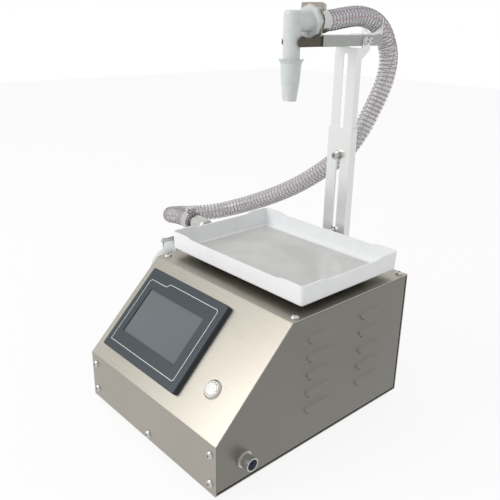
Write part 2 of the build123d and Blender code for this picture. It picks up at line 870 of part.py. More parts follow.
rocker_plane = Plane(
    origin=(switch_x - rocker_width / 2, pivot_y, fitting_z),
    x_dir=(0, cos(radians(switch_tilt)), sin(radians(switch_tilt))),
    z_dir=(1, 0, 0),
)
with BuildPart() as power_switch:
    with BuildSketch(rocker_plane):
        with BuildLine():
            Polyline(
                (-rocker_root, -rocker_reach),
                (rocker_crest, -rocker_reach),
                (rocker_valley, 0),
                (rocker_crest, rocker_reach),
                (-rocker_root, rocker_reach),
                close=True,
            )
        make_face()
        Circle(rocker_reach, mode=Mode.INTERSECT)
    extrude(amount=rocker_width)
    with BuildSketch(Plane.YZ.offset(switch_x - rocker_width / 2 - rocker_pin_length)):
        with Locations((pivot_y, fitting_z)):
            Circle(rocker_pin_radius)
    extrude(amount=rocker_width + 2 * rocker_pin_length)

# Gear pump: body with the pocket of the two gears, their channels and ports
pocket_radius = gear_outer_radius + pocket_clearance
pocket_x = -half_width - pump_wall
suction_y = pump_y - suction_offset
outlet_y = pump_y + outlet_offset
suction_z = upper_gear_z + suction_rise
pump_front = pump_y - pump_half_width
pump_screws_at = [
    (pump_y + side * (pump_half_width - pump_corner), z)
    for side in (-1, 1)
    for z in (pump_bottom + pump_corner, pump_top - pump_corner)
]
with BuildPart() as pump_body:
    with BuildSketch(Plane.YZ.offset(-half_width)):
        with Locations((pump_y, (pump_top + pump_bottom) / 2)):
            RectangleRounded(2 * pump_half_width, pump_top - pump_bottom, pump_corner)
    extrude(amount=-pump_depth)
    with BuildSketch(Plane.YZ.offset(pocket_x)):
        with Locations((pump_y, drive_z), (pump_y, upper_gear_z)):
            Circle(pocket_radius)
    extrude(amount=-pump_depth, mode=Mode.SUBTRACT)
    with BuildSketch(Plane.YZ.offset(pocket_x)):
        with Locations((pump_y, drive_z), (pump_y, upper_gear_z)):
            Circle(bush_radius)
    extrude(amount=bush_length, mode=Mode.SUBTRACT)
    with BuildSketch(Plane.YZ.offset(-half_width)):
        with Locations((pump_y, drive_z)):
            Circle(shaft_radius + 2 * pocket_clearance)
    extrude(amount=bush_length - pump_wall, mode=Mode.SUBTRACT)
    with BuildSketch(Plane.YZ.offset(-half_width)):
        with Locations(*pump_mounts):
            Circle(pump_thread / 2)
    extrude(amount=-bush_length, mode=Mode.SUBTRACT)
    with BuildSketch(Plane.XZ.offset(-suction_y)):
        with Locations((port_x, mesh_z)):
            Circle(channel_radius)
    extrude(amount=suction_y - outlet_y, mode=Mode.SUBTRACT)
    with BuildSketch(Plane.XY.offset(mesh_z)):
        with Locations((port_x, suction_y)):
            Circle(riser_channel_radius)
    extrude(amount=suction_z - mesh_z, mode=Mode.SUBTRACT)
    with BuildSketch(Plane.XZ.offset(-pump_front)):
        with Locations((port_x, suction_z)):
            Circle(channel_radius)
    extrude(amount=pump_front - suction_y, mode=Mode.SUBTRACT)
    with BuildSketch(Plane.XZ.offset(-pump_front)):
        with Locations((port_x, suction_z)):
            Circle(port_radius)
    extrude(amount=-port_length, mode=Mode.SUBTRACT)
    with BuildSketch(Plane.XY.offset(mesh_z)):
        with Locations((port_x, outlet_y)):
            Circle(riser_channel_radius)
    extrude(amount=pump_top - mesh_z, mode=Mode.SUBTRACT)
    with BuildSketch(Plane.XY.offset(pump_top)):
        with Locations((port_x, outlet_y)):
            Circle(port_radius)
    extrude(amount=-port_length, mode=Mode.SUBTRACT)
    with BuildSketch(Plane.YZ.offset(pump_face_x)):
        with Locations(*pump_screws_at):
            Circle(pump_thread / 2)
    extrude(amount=pump_screw_grip, mode=Mode.SUBTRACT)
with BuildPart() as pump_cover:
    with BuildSketch(Plane.YZ.offset(pump_face_x)):
        with Locations((pump_y, (pump_top + pump_bottom) / 2)):
            RectangleRounded(2 * pump_half_width, pump_top - pump_bottom, pump_corner)
        with Locations(*pump_screws_at):
            Circle(pump_thread / 2 + hole_clearance, mode=Mode.SUBTRACT)
    extrude(amount=-pump_cover_depth)
    chamfer(pump_cover.faces().sort_by(Axis.X)[0].outer_wire().edges(), length=sheet / 2)
    with BuildSketch(Plane.YZ.offset(pump_face_x)):
        with Locations((pump_y, drive_z), (pump_y, upper_gear_z)):
            Circle(bush_radius)
    extrude(amount=-bush_length, mode=Mode.SUBTRACT)
with BuildPart() as pump_screws:
    pump_screw_heads = [
        Location((pump_face_x - pump_cover_depth, y, z), (0, -90, 0)) for y, z in pump_screws_at
    ]
    with Locations(*pump_screw_heads):
        add(socket_screw(pump_thread, pump_cover_depth + pump_screw_grip - pump_thread))
with BuildPart() as pump_bushes:
    for face_x in (pocket_x + bush_length, pump_face_x):
        with BuildSketch(Plane.YZ.offset(face_x)):
            with Locations((pump_y, drive_z), (pump_y, upper_gear_z)):
                Circle(bush_radius)
                Circle(shaft_radius + shaft_clearance, mode=Mode.SUBTRACT)
        extrude(amount=-bush_length)


def gear_outline(turn):
    """Involute outline of a pump gear, its first tooth at an angle from the Y axis."""
    base_radius = gear_pitch_radius * cos(radians(pressure_angle))
    root_radius = gear_pitch_radius - gear_root_depth
    half_tooth = (pi * gear_module - gear_backlash) / (4 * gear_pitch_radius)

    def flank_point(radius, side):
        roll = acos(base_radius / radius)
        pitch_roll = radians(pressure_angle)
        angle = half_tooth + tan(pitch_roll) - pitch_roll - tan(roll) + roll
        return (radius * cos(angle), side * radius * sin(angle))

    steps = [base_radius + (gear_outer_radius - base_radius) * step / 4 for step in range(5)]
    left = [flank_point(radius, 1) for radius in steps]
    right = [flank_point(radius, -1) for radius in steps]
    root_angle = degrees(half_tooth + tan(radians(pressure_angle)) - radians(pressure_angle))
    left_root = (0.9 * root_radius * cos(radians(root_angle)), 0.9 * root_radius * sin(radians(root_angle)))
    right_root = (left_root[0], -left_root[1])
    with BuildSketch() as tooth:
        with BuildLine():
            Line(right_root, right[0])
            Spline(*right)
            ThreePointArc(right[-1], (gear_outer_radius, 0), left[-1])
            Spline(*reversed(left))
            Line(left[0], left_root)
            Line(left_root, right_root)
        make_face()
    with BuildSketch() as outline:
        Circle(root_radius)
        with PolarLocations(0, gear_teeth, start_angle=turn):
            add(tooth.sketch)
    return outline.sketch


# Pump gears, each in one piece with its shaft, and the parts that turn the drive gear
gear_x = pocket_x - gear_clearance
driven_end_x = pocket_x + bush_length - shaft_end_gap
cover_end_x = pump_face_x - bush_length + shaft_end_gap
gearbox_x = -half_width + sheet + standoff_length
coupling_x = (-half_width + sheet + gearbox_x) / 2
with BuildPart() as drive_gear:
    with BuildSketch(Plane.YZ.offset(gear_x)):
        with Locations((pump_y, drive_z)):
            add(gear_outline(90))
    extrude(amount=-gear_width)
    with BuildSketch(Plane.YZ.offset(cover_end_x)):
        with Locations((pump_y, drive_z)):
            Circle(shaft_radius)
    extrude(amount=coupling_x - coupling_gap / 2 - cover_end_x)
with BuildPart() as driven_gear:
    with BuildSketch(Plane.YZ.offset(gear_x)):
        with Locations((pump_y, upper_gear_z)):
            add(gear_outline(-90 + 180 / gear_teeth))
    extrude(amount=-gear_width)
    with BuildSketch(Plane.YZ.offset(cover_end_x)):
        with Locations((pump_y, upper_gear_z)):
            Circle(shaft_radius)
    extrude(amount=driven_end_x - cover_end_x)
with BuildPart() as shaft_coupling:
    with BuildSketch(Plane.YZ.offset(coupling_x - coupling_length / 2)):
        with Locations((pump_y, drive_z)):
            Circle(coupling_radius)
            Circle(shaft_radius, mode=Mode.SUBTRACT)
    extrude(amount=coupling_length)
    with BuildSketch(Plane.XY.offset(drive_z + coupling_radius)):
        with Locations((coupling_x, pump_y)):
            with GridLocations(coupling_length / 2, 0, 2, 1):
                Circle(small_thread / 2)
    extrude(amount=-coupling_radius / 4, mode=Mode.SUBTRACT)
with BuildPart() as output_shaft:
    with BuildSketch(Plane.YZ.offset(coupling_x + coupling_gap / 2)):
        with Locations((pump_y, drive_z)):
            Circle(shaft_radius)
    extrude(amount=gearbox_x + bush_length - coupling_x - coupling_gap)
with BuildPart() as motor_standoffs:
    with BuildSketch(Plane.YZ.offset(-half_width + sheet)):
        with Locations((pump_y, drive_z)):
            with PolarLocations(standoff_circle, 4, start_angle=45):
                Circle(standoff_radius)
    extrude(amount=standoff_length)
with BuildPart() as gearbox:
    with BuildSketch(Plane.YZ.offset(gearbox_x)):
        with Locations((pump_y, drive_z)):
            Circle(gearbox_radius)
    extrude(amount=gearbox_length)
    with BuildSketch(Plane.YZ.offset(gearbox_x)):
        with Locations((pump_y, drive_z)):
            Circle(shaft_radius + shaft_clearance)
    extrude(amount=bush_length, mode=Mode.SUBTRACT)
with BuildPart() as pump_motor:
    with BuildSketch(Plane.YZ.offset(gearbox_x + gearbox_length)):
        with Locations((pump_y, drive_z)):
            Circle(motor_radius)
    extrude(amount=motor_length)
    fillet(pump_motor.edges().sort_by(Axis.X)[-1], radius=bend_radius)


def elbow(reach, leg, port_bore):
    """A moulded elbow with its port face on Z = 0: collar and run along Z, leg turned towards X."""
    crown_reach = elbow_radius + crown_rise
    with BuildPart() as body:
        with BuildSketch(Plane(origin=(-crown_reach, 0, reach), x_dir=(0, 1, 0), z_dir=(1, 0, 0))):
            Circle(leg_radius)
        extrude(amount=crown_reach + leg)
        fillet(body.edges().sort_by(Axis.X)[0], radius=elbow_crown)
        with BuildSketch(Plane.XY.offset(collar_thickness)):
            Circle(elbow_radius)
        extrude(amount=reach - collar_thickness)
        with BuildSketch(Plane.XY):
            RegularPolygon(radius=collar_flats / 2, side_count=8, major_radius=False)
        extrude(amount=collar_thickness)
        with BuildSketch(Plane.XY):
            Circle(port_bore)
        extrude(amount=collar_thickness, mode=Mode.SUBTRACT)
        with BuildSketch(Plane.XY.offset(collar_thickness)):
            Circle(spigot_bore)
        extrude(amount=reach - collar_thickness, mode=Mode.SUBTRACT)
        with BuildSketch(Plane(origin=(0, 0, reach), x_dir=(0, 1, 0), z_dir=(1, 0, 0))):
            Circle(spigot_bore)
        extrude(amount=leg, mode=Mode.SUBTRACT)
    return body.part


def hose_clamp():
    """A worm-drive clamp round the Z axis: its band, with the screw housing on the X side."""
    inner_radius = hose_radius + clamp_clearance
    outer_radius = inner_radius + clamp_band
    length, width, height = clamp_housing
    with BuildPart() as clamp:
        with BuildSketch(Plane.XY.offset(-clamp_width / 2)):
            Circle(outer_radius)
            Circle(inner_radius, mode=Mode.SUBTRACT)
        extrude(amount=clamp_width)
        with BuildSketch(Plane.YZ.offset(outer_radius - clamp_band / 2)):
            Rectangle(width, clamp_width)
        extrude(amount=height)
        fillet(clamp.edges().filter_by(Axis.Z).group_by(Axis.X)[-1], radius=height / 3)
        with BuildSketch(Plane.XZ.offset(-length / 2)):
            with Locations((outer_radius + height / 2, 0)):
                Circle(clamp_screw_radius)
        extrude(amount=length)
        with BuildSketch(Plane.XZ.offset(length / 2)):
            with Locations((outer_radius + height / 2, 0)):
                Rectangle(2 * clamp_screw_radius, clamp_band)
        extrude(amount=-clamp_band, mode=Mode.SUBTRACT)
    return clamp.part


# Outlet elbow on top of the pump, with its spigot to the left, and the clamp on the hose there
outlet_port = Plane(origin=(port_x, outlet_y, pump_top), x_dir=(-1, 0, 0), z_dir=(0, 0, 1))
with BuildPart() as outlet_elbow:
    with Locations(outlet_port.location):
        add(elbow(outlet_rise, elbow_reach, channel_radius))
    with BuildSketch(outlet_port):
        Circle(port_radius - port_clearance)
        Circle(channel_radius, mode=Mode.SUBTRACT)
    extrude(amount=-port_length)
    with BuildSketch(Plane.YZ.offset(port_x - elbow_reach)):
        with Locations((outlet_y, pump_top + outlet_rise)):
            Circle(spigot_radius)
            Circle(spigot_bore, mode=Mode.SUBTRACT)
    extrude(amount=-spigot_length)
with BuildPart() as outlet_clamp:
    with Locations(Location((outlet_clamp_x, outlet_y, pump_top + outlet_rise), (0, 90, 0))):
        add(hose_clamp().rotate(Axis.Z, 180))

# Suction elbow on the front of the pump: a bent tube that ends in the spigot of the supply hose
suction_port = Plane(origin=(port_x, pump_front, suction_z), x_dir=(0, 0, -1), z_dir=(0, -1, 0))
suction_leg_y = pump_front - suction_reach
suction_shoulder_z = suction_z - elbow_bend
suction_start = (port_x, pump_front, suction_z)
suction_corner = (port_x, suction_leg_y, suction_z)
suction_end = (port_x, suction_leg_y, suction_shoulder_z - collar_thickness)
with BuildPart() as suction_elbow:
    with BuildLine():
        FilletPolyline(suction_start, suction_corner, suction_end, radius=elbow_bend)
    with BuildSketch(suction_port):
        Circle(leg_radius)
        Circle(spigot_bore, mode=Mode.SUBTRACT)
    sweep()
    with BuildSketch(suction_port):
        RegularPolygon(radius=collar_flats / 2, side_count=8, major_radius=False)
        Circle(channel_radius, mode=Mode.SUBTRACT)
    extrude(amount=collar_thickness)
    with BuildSketch(suction_port):
        Circle(port_radius - port_clearance)
        Circle(channel_radius, mode=Mode.SUBTRACT)
    extrude(amount=-port_length)
    with BuildSketch(Plane.XY.offset(suction_end[2])):
        with Locations((port_x, suction_leg_y)):
            Circle(spigot_radius)
            Circle(spigot_bore, mode=Mode.SUBTRACT)
    extrude(amount=-suction_length)

# Lower mast: a channel screwed to the rear panel, with a slot for the clamping bolts
web_y = casing_depth + mast_sheet
upper_web_y = web_y + mast_fit
mast_slot_middle = (mast_bolt_low + mast_bolt_high) / 2
with BuildPart() as mast_lower:
    with BuildSketch(Plane.XY.offset(mast_low)):
        with Locations((0, casing_depth + mast_flange / 2)):
            Rectangle(mast_width, mast_flange)
        with Locations((0, web_y + mast_flange / 2)):
            Rectangle(mast_width - 2 * mast_sheet, mast_flange, mode=Mode.SUBTRACT)
    extrude(amount=mast_lower_top - mast_low)
    with BuildSketch(Plane.XZ.offset(-casing_depth)):
        with Locations((0, mast_slot_middle)):
            SlotCenterToCenter(mast_bolt_high - mast_bolt_low, mast_slot_width, rotation=90)
        with Locations((0, (mast_screw_low + mast_screw_high) / 2)):
            with GridLocations(2 * mast_screw_offset, mast_screw_high - mast_screw_low, 2, 2):
                Circle(small_thread / 2 + hole_clearance)
    extrude(amount=-mast_sheet, mode=Mode.SUBTRACT)

# Small domed screws, of the feet, of the mains inlet and of the lower mast
with BuildPart() as small_screws:
    with Locations(*[Location((x, y, -foot_height + foot_recess), (180, 0, 0)) for x, y in feet]):
        add(button_screw(small_thread, foot_recess + sheet))
    for side in (-1, 1):
        screw_x = inlet_x + side * inlet_screw_pitch / 2
        with Locations(Location((screw_x, inlet_front, fitting_z), (-90, 0, 0))):
            add(button_screw(small_thread, inlet_flange[2] + 3 * sheet))
        for height in (mast_screw_low, mast_screw_high):
            with Locations(Location((side * mast_screw_offset, web_y, height), (-90, 0, 0))):
                add(button_screw(small_thread, 4 * sheet))

# Clamping bolts through both masts, with their washers in front and nuts behind
washer_stack = washer_thickness + spring_washer_thickness
nut_y = upper_web_y + mast_sheet + mast_hole_clearance + washer_thickness
with BuildPart() as mast_bolts:
    for height in (mast_bolt_low, mast_bolt_high):
        with Locations(Location((0, casing_depth - washer_stack, height), (90, 0, 0))):
            add(socket_screw(mast_thread, nut_y + mast_thread - casing_depth + washer_stack))
with BuildPart() as mast_washers:
    for height in (mast_bolt_low, mast_bolt_high):
        with BuildSketch(Plane.XZ.offset(-casing_depth)):
            with Locations((0, height)):
                Circle(washer_radius)
                Circle(mast_thread / 2 + hole_clearance, mode=Mode.SUBTRACT)
        extrude(amount=washer_thickness)
        with BuildSketch(Plane.XZ.offset(-casing_depth + washer_thickness)):
            with Locations((0, height)):
                Circle(washer_radius - washer_thickness / 2)
                Circle(mast_thread / 2 + hole_clearance, mode=Mode.SUBTRACT)
        extrude(amount=spring_washer_thickness)
        with BuildSketch(Plane.XZ.offset(-nut_y)):
            with Locations((0, height)):
                Circle(washer_radius)
                Circle(mast_thread / 2 + hole_clearance, mode=Mode.SUBTRACT)
        extrude(amount=washer_thickness)
with BuildPart() as mast_nuts:
    for height in (mast_bolt_low, mast_bolt_high):
        with Locations(Location((0, nut_y, height), (-90, 0, 0))):
            add(hex_nut(mast_thread, 0.8 * mast_thread))

# Upper mast: a narrower channel inside the lower one, with a long slot and an ear on each flange
upper_width = mast_width - 2 * mast_sheet - 2 * mast_fit
upper_slot_middle = (upper_slot_bottom + upper_slot_top) / 2
with BuildPart() as mast_upper:
    with BuildSketch(Plane.XY.offset(mast_upper_bottom)):
        with Locations((0, upper_web_y + mast_sheet / 2)):
            Rectangle(upper_width, mast_sheet)
    extrude(amount=mast_upper_top - mast_upper_bottom)
    for flange_x in (-upper_width / 2, upper_width / 2 - mast_sheet):
        with BuildSketch(Plane.YZ.offset(flange_x)):
            with BuildLine():
                Polyline(
                    (upper_web_y, mast_upper_bottom),
                    (casing_depth + mast_flange, mast_upper_bottom),
                    (casing_depth + mast_flange, ear_start),
                    (arm_screw_y + ear_depth, ear_widest[0]),
                    (arm_screw_y + ear_depth, ear_widest[1]),
                    (arm_screw_y + ear_radius, arm_screw_z),
                    (arm_screw_y - ear_radius, arm_screw_z),
                    (arm_screw_y - ear_radius, mast_upper_top),
                    (upper_web_y, mast_upper_top),
                    close=True,
                )
            make_face()
            with Locations((arm_screw_y, arm_screw_z)):
                Circle(ear_radius)
                Circle(cover_thread / 2 + hole_clearance, mode=Mode.SUBTRACT)
        extrude(amount=mast_sheet)
    with BuildSketch(Plane.XZ.offset(-upper_web_y)):
        with Locations((0, upper_slot_middle)):
            SlotCenterToCenter(upper_slot_top - upper_slot_bottom, mast_slot_width, rotation=90)
    extrude(amount=-mast_sheet, mode=Mode.SUBTRACT)

# Arm: a channel with its web on top, between the ears of the mast
arm_bottom = mast_upper_top + arm_gap
arm_top = arm_bottom + arm_height
arm_width = upper_width - 2 * mast_sheet - 2 * mast_fit
arm_screw_points = [(arm_screw_y, arm_screw_z), (arm_screw_y + arm_screw_pitch, arm_screw_z + sheet / 2)]
with BuildPart() as arm_channel:
    with BuildSketch(Plane.XZ.offset(-arm_rear)):
        with Locations((0, arm_bottom + arm_height / 2)):
            Rectangle(arm_width, arm_height)
        with Locations((0, arm_bottom + arm_height / 2 - mast_sheet)):
            Rectangle(arm_width - 2 * mast_sheet, arm_height, mode=Mode.SUBTRACT)
    extrude(amount=arm_rear - arm_front)
    with BuildSketch(Plane.YZ.offset(-arm_width / 2)):
        with Locations(*arm_screw_points):
            Circle(cover_thread / 2 + hole_clearance)
    extrude(amount=arm_width, mode=Mode.SUBTRACT)
bar_width = arm_width - 2 * mast_sheet - 2 * mast_fit
seat_radii = (upper_width / 2, arm_width / 2)
with BuildPart() as arm_screws:
    for (screw_y, screw_z), seat in zip(arm_screw_points, seat_radii):
        for side in (-1, 1):
            with Locations(Location((side * seat, screw_y, screw_z), (0, side * 90, 0))):
                add(button_screw(cover_thread, seat - bar_width / 2 - arm_screw_gap))

# Cradle: a strip bent up at the rear end of the arm, notched for the hose
with BuildPart() as hose_cradle:
    with BuildSketch(Plane.XY.offset(arm_top)):
        with Locations((0, cradle_y - cradle_foot / 2 + sheet)):
            Rectangle(cradle_foot_width, cradle_foot)
    extrude(amount=sheet)
    with BuildSketch(Plane.XZ.offset(-cradle_y - sheet)):
        with Locations((0, (arm_top + cradle_top) / 2)):
            Rectangle(cradle_width, cradle_top - arm_top)
        with Locations((0, cradle_hose_z)):
            Circle(hose_radius + cradle_hose_gap, mode=Mode.SUBTRACT)
    extrude(amount=sheet)

# Nozzle bar: the narrow channel that slides in the arm, with a cheek each side of the nozzle
bar_top = arm_top - mast_sheet - mast_fit - arm_screw_gap
with BuildPart() as nozzle_bar:
    with BuildSketch(Plane.XZ.offset(-bar_rear)):
        with Locations((0, bar_top - bar_height / 2)):
            Rectangle(bar_width, bar_height)
        with Locations((0, bar_top - bar_height / 2 - mast_sheet)):
            Rectangle(bar_width - 2 * mast_sheet, bar_height, mode=Mode.SUBTRACT)
    extrude(amount=bar_rear - plate_y)
    with BuildSketch(Plane.XZ.offset(-plate_y)):
        with Locations((0, bar_top - bar_height / 2)):
            Rectangle(bar_width, bar_height)
            Rectangle(bar_width - 2 * mast_sheet, bar_height, mode=Mode.SUBTRACT)
    extrude(amount=plate_y - bar_front)
    cheek_ends = nozzle_bar.edges().filter_by(Axis.X).group_by(Axis.Y)[0]
    chamfer(cheek_ends, length=2 * mast_sheet)
with BuildPart() as nozzle_plate:
    with BuildSketch(Plane.XZ.offset(-plate_y - plate_thickness)):
        with Locations((0, bar_top + plate_height / 2)):
            RectangleRounded(plate_width, plate_height, plate_thickness)
        with Locations((0, nozzle_rise)):
            Circle(spigot_radius + hole_clearance, mode=Mode.SUBTRACT)
    extrude(amount=plate_thickness)

# Nozzle elbow through the plate: spigot to the rear, long leg down, with the sleeve pushed on its end
nozzle_port = Plane(origin=(0, plate_y, nozzle_rise), x_dir=(0, 0, -1), z_dir=(0, -1, 0))
with BuildPart() as nozzle_elbow:
    with Locations(nozzle_port.location):
        add(elbow(plate_y - nozzle_y, nozzle_rise - leg_seam, spigot_bore))
    with BuildSketch(nozzle_port):
        Circle(spigot_radius)
        Circle(spigot_bore, mode=Mode.SUBTRACT)
    extrude(amount=-spigot_length - plate_thickness - locknut_thickness)
    with BuildSketch(Plane.XY.offset(leg_seam)):
        with Locations((0, nozzle_y)):
            Circle(leg_radius - seam)
            Circle(spigot_bore, mode=Mode.SUBTRACT)
    extrude(amount=leg_bottom - leg_seam)
with BuildPart() as elbow_locknut:
    with BuildSketch(Plane.XZ.offset(-plate_y - plate_thickness)):
        with Locations((0, nozzle_rise)):
            RegularPolygon(radius=locknut_radius, side_count=6)
            Circle(spigot_radius, mode=Mode.SUBTRACT)
    extrude(amount=-locknut_thickness)
with BuildPart() as nozzle_sleeve:
    with BuildSketch(Plane.XZ.offset(-nozzle_y)):
        with BuildLine():
            Polyline(
                (spigot_bore, sleeve_bottom),
                (sleeve_tip, sleeve_bottom),
                sleeve_waist,
                sleeve_shoulder,
                (sleeve_lip, sleeve_top),
                (leg_radius - seam + sleeve_clearance, sleeve_top),
                (leg_radius - seam + sleeve_clearance, leg_bottom),
                (spigot_bore, leg_bottom),
                close=True,
            )
        make_face()
    revolve(axis=Axis((0, nozzle_y, 0), (0, 0, 1)))
    for side in (-1, 1):
        split(
            bisect_by=Plane(
                origin=(0, nozzle_y + side * spigot_bore, sleeve_bottom),
                z_dir=(0, side * cos(radians(sleeve_cut_angle)), -sin(radians(sleeve_cut_angle))),
            ),
            keep=Keep.BOTTOM,
        )
with BuildPart() as nozzle_clamp:
    with Locations(Location((0, nozzle_clamp_y, nozzle_rise), (90, 0, 0))):
        add(hose_clamp().rotate(Axis.Z, 90))

# Delivery hose: straight runs joined by arcs, from the nozzle over the cradle and down to the pump.
# It is in two lengths, one that the mast carries and one that follows on to the pump.
hose_route = [
    (0, 251, 462),
    (0, 272, 462),
    (0, 303, 466.5),
    (0, 335, 469.5),
    (0, 367, 463),
    (0, 390, 445),
    (1, 402, 417),
    (0, 398, 386),
    (-4, 383, 354),
    (-9, 367, 322),
    (-24, 353, 290),
    (-54, 350, 264),
    (-90, 340, 236),
    (-126, 329, 214),
    (-162, 318, 196),
    (-196, 304, 181),
    (-222, 284, 171),
    (-240, 262, 168),
    (-250, 240, 169),
    (-249, 217, 173),
    (-235, 202, 178),
    (-212, 198.6, 183.5),
    (-188, 198, 185),
    (-168, 198, 185),
]
upper_point_count = 6
fillet_share = 0.45
hose_points = [Vector(*point) for point in hose_route]
hose_radii = []
for before, corner, after in zip(hose_points, hose_points[1:], hose_points[2:]):
    run_in = corner - before
    run_out = after - corner
    half_turn = radians(run_in.get_angle(run_out)) / 2
    hose_radii.append(fillet_share * min(run_in.length, run_out.length) / tan(half_turn))
print("hose bend radii:", [round(radius) for radius in hose_radii])
split_point = (hose_points[upper_point_count - 1] + hose_points[upper_point_count]) / 2


def hose_length_of(points, radii):
    """A stretch of the hose along its points, as a tube."""
    with BuildPart() as stretch:
        with BuildLine() as route:
            FilletPolyline(*points, radius=radii)
        with BuildSketch(Plane(origin=route.line @ 0, z_dir=route.line % 0)):
            Circle(hose_radius)
            Circle(hose_bore, mode=Mode.SUBTRACT)
        sweep()
    length = sum(edge.length for edge in route.edges())
    tube_volume = pi * (hose_radius**2 - hose_bore**2) * length
    print("hose stretch:", round(length), "mm, volume ratio", round(stretch.part.volume / tube_volume, 4))
    return stretch


delivery_hose_upper = hose_length_of(
    hose_points[:upper_point_count] + [split_point],
    hose_radii[:upper_point_count - 1],
)
delivery_hose_lower = hose_length_of(
    [split_point] + hose_points[upper_point_count:],
    hose_radii[upper_point_count - 1:],
)

# All pieces by name, set on the floor over the middle of the footprint
pieces = {
    "front_cover": front_cover,
    "right_side_panel": right_side_panel,
    "left_side_panel": left_side_panel,
    "rear_panel": rear_panel,
    "base_plate": base_plate,
    "rubber_feet": rubber_feet,
    "cover_screws": cover_screws,
    "touchscreen_bezel": touchscreen_bezel,
    "touchscreen_glass": touchscreen_glass,
    "touchscreen_case": touchscreen_case,
    "touchscreen_clamps": touchscreen_clamps,
    "button_housing": button_housing,
    "button_nut": button_nut,
    "button_cap": button_cap,
    "connector_shell": connector_shell,
    "connector_insert": connector_insert,
    "connector_nut": connector_nut,
    "load_cell": load_cell,
    "load_cell_riser": load_cell_riser,
    "weigh_post": weigh_post,
    "weigh_platform": weigh_platform,
    "tray": tray,
    "board_standoffs": board_standoffs,
    "control_board": control_board,
    "power_supply": power_supply,
    "mains_inlet": mains_inlet,
    "switch_housing": switch_housing,
    "power_switch": power_switch,
    "pump_body": pump_body,
    "pump_cover": pump_cover,
    "pump_screws": pump_screws,
    "pump_bushes": pump_bushes,
    "drive_gear": drive_gear,
    "driven_gear": driven_gear,
    "shaft_coupling": shaft_coupling,
    "output_shaft": output_shaft,
    "motor_standoffs": motor_standoffs,
    "gearbox": gearbox,
    "pump_motor": pump_motor,
    "outlet_elbow": outlet_elbow,
    "outlet_clamp": outlet_clamp,
    "suction_elbow": suction_elbow,
    "mast_lower": mast_lower,
    "small_screws": small_screws,
    "mast_bolts": mast_bolts,
    "mast_washers": mast_washers,
    "mast_nuts": mast_nuts,
    "mast_upper": mast_upper,
    "arm_channel": arm_channel,
    "arm_screws": arm_screws,
    "hose_cradle": hose_cradle,
    "nozzle_bar": nozzle_bar,
    "nozzle_plate": nozzle_plate,
    "nozzle_elbow": nozzle_elbow,
    "elbow_locknut": elbow_locknut,
    "nozzle_sleeve": nozzle_sleeve,
    "nozzle_clamp": nozzle_clamp,
    "delivery_hose_upper": delivery_hose_upper,
    "delivery_hose_lower": delivery_hose_lower,
}
boxes = [piece.part.bounding_box() for name, piece in pieces.items() if not name.startswith("delivery_hose")]
middle_x = (min(box.min.X for box in boxes) + max(box.max.X for box in boxes)) / 2
middle_y = (min(box.min.Y for box in boxes) + max(box.max.Y for box in boxes)) / 2
print("footprint middle:", round(middle_x, 3), round(middle_y, 3))
stand = Location((-middle_x, -middle_y, foot_height))
for name, piece in pieces.items():
    placed = piece.part.moved(stand)
    placed.label = name
    export_step(placed, f"parts/{name}.step")
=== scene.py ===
import bpy
import numpy as np
from math import cos, pi, radians, sin
from mathutils import Matrix, Vector


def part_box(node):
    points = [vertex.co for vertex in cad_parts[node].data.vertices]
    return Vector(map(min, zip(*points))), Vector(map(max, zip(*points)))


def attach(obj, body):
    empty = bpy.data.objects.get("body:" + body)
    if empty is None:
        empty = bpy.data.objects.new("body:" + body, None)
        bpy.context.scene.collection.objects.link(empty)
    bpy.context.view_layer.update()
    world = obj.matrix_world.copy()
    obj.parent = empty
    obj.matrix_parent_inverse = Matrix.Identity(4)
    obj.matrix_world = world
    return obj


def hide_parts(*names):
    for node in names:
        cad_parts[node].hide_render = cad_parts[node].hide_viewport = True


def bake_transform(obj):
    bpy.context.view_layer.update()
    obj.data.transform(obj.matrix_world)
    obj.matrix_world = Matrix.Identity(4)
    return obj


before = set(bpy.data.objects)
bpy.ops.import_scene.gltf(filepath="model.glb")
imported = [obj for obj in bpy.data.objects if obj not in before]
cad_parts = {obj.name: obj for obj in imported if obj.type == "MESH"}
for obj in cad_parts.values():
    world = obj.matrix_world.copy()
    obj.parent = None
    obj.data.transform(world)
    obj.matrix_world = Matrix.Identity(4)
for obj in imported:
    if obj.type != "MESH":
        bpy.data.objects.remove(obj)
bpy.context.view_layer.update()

# Camera. It stands in front of the machine's right corner, a little above the nozzle's height.
# Its place is measured from the front edge of the casing's underside, at the middle of its width.
cover_low, cover_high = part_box("front_cover")
casing = Vector(((cover_low.x + cover_high.x) / 2, cover_low.y, cover_low.z))
camera_place = Vector((0.5226, -0.3194, 0.4667))
camera_turn = radians(47.713)
camera_rise = radians(20.698)
camera_roll = radians(1.038)
focal_length = 44.636
sensor_width = 36.0
nearest_shown = 0.01
camera_data = bpy.data.cameras.new("camera")
camera_data.sensor_width = sensor_width
camera_data.lens = focal_length
camera_data.clip_start = nearest_shown
camera = bpy.data.objects.new("camera", camera_data)
level_length = cos(camera_rise)
back = Vector((sin(camera_turn) * level_length, -cos(camera_turn) * level_length, sin(camera_rise)))
level_right = (-back).cross(Vector((0, 0, 1))).normalized()
level_up = level_right.cross(-back)
right = cos(camera_roll) * level_right + sin(camera_roll) * level_up
up = cos(camera_roll) * level_up - sin(camera_roll) * level_right
turn = Matrix((right, up, back)).transposed().to_4x4()
camera.matrix_world = Matrix.Translation(casing + camera_place) @ turn
bpy.context.scene.collection.objects.link(camera)
bpy.context.scene.camera = camera

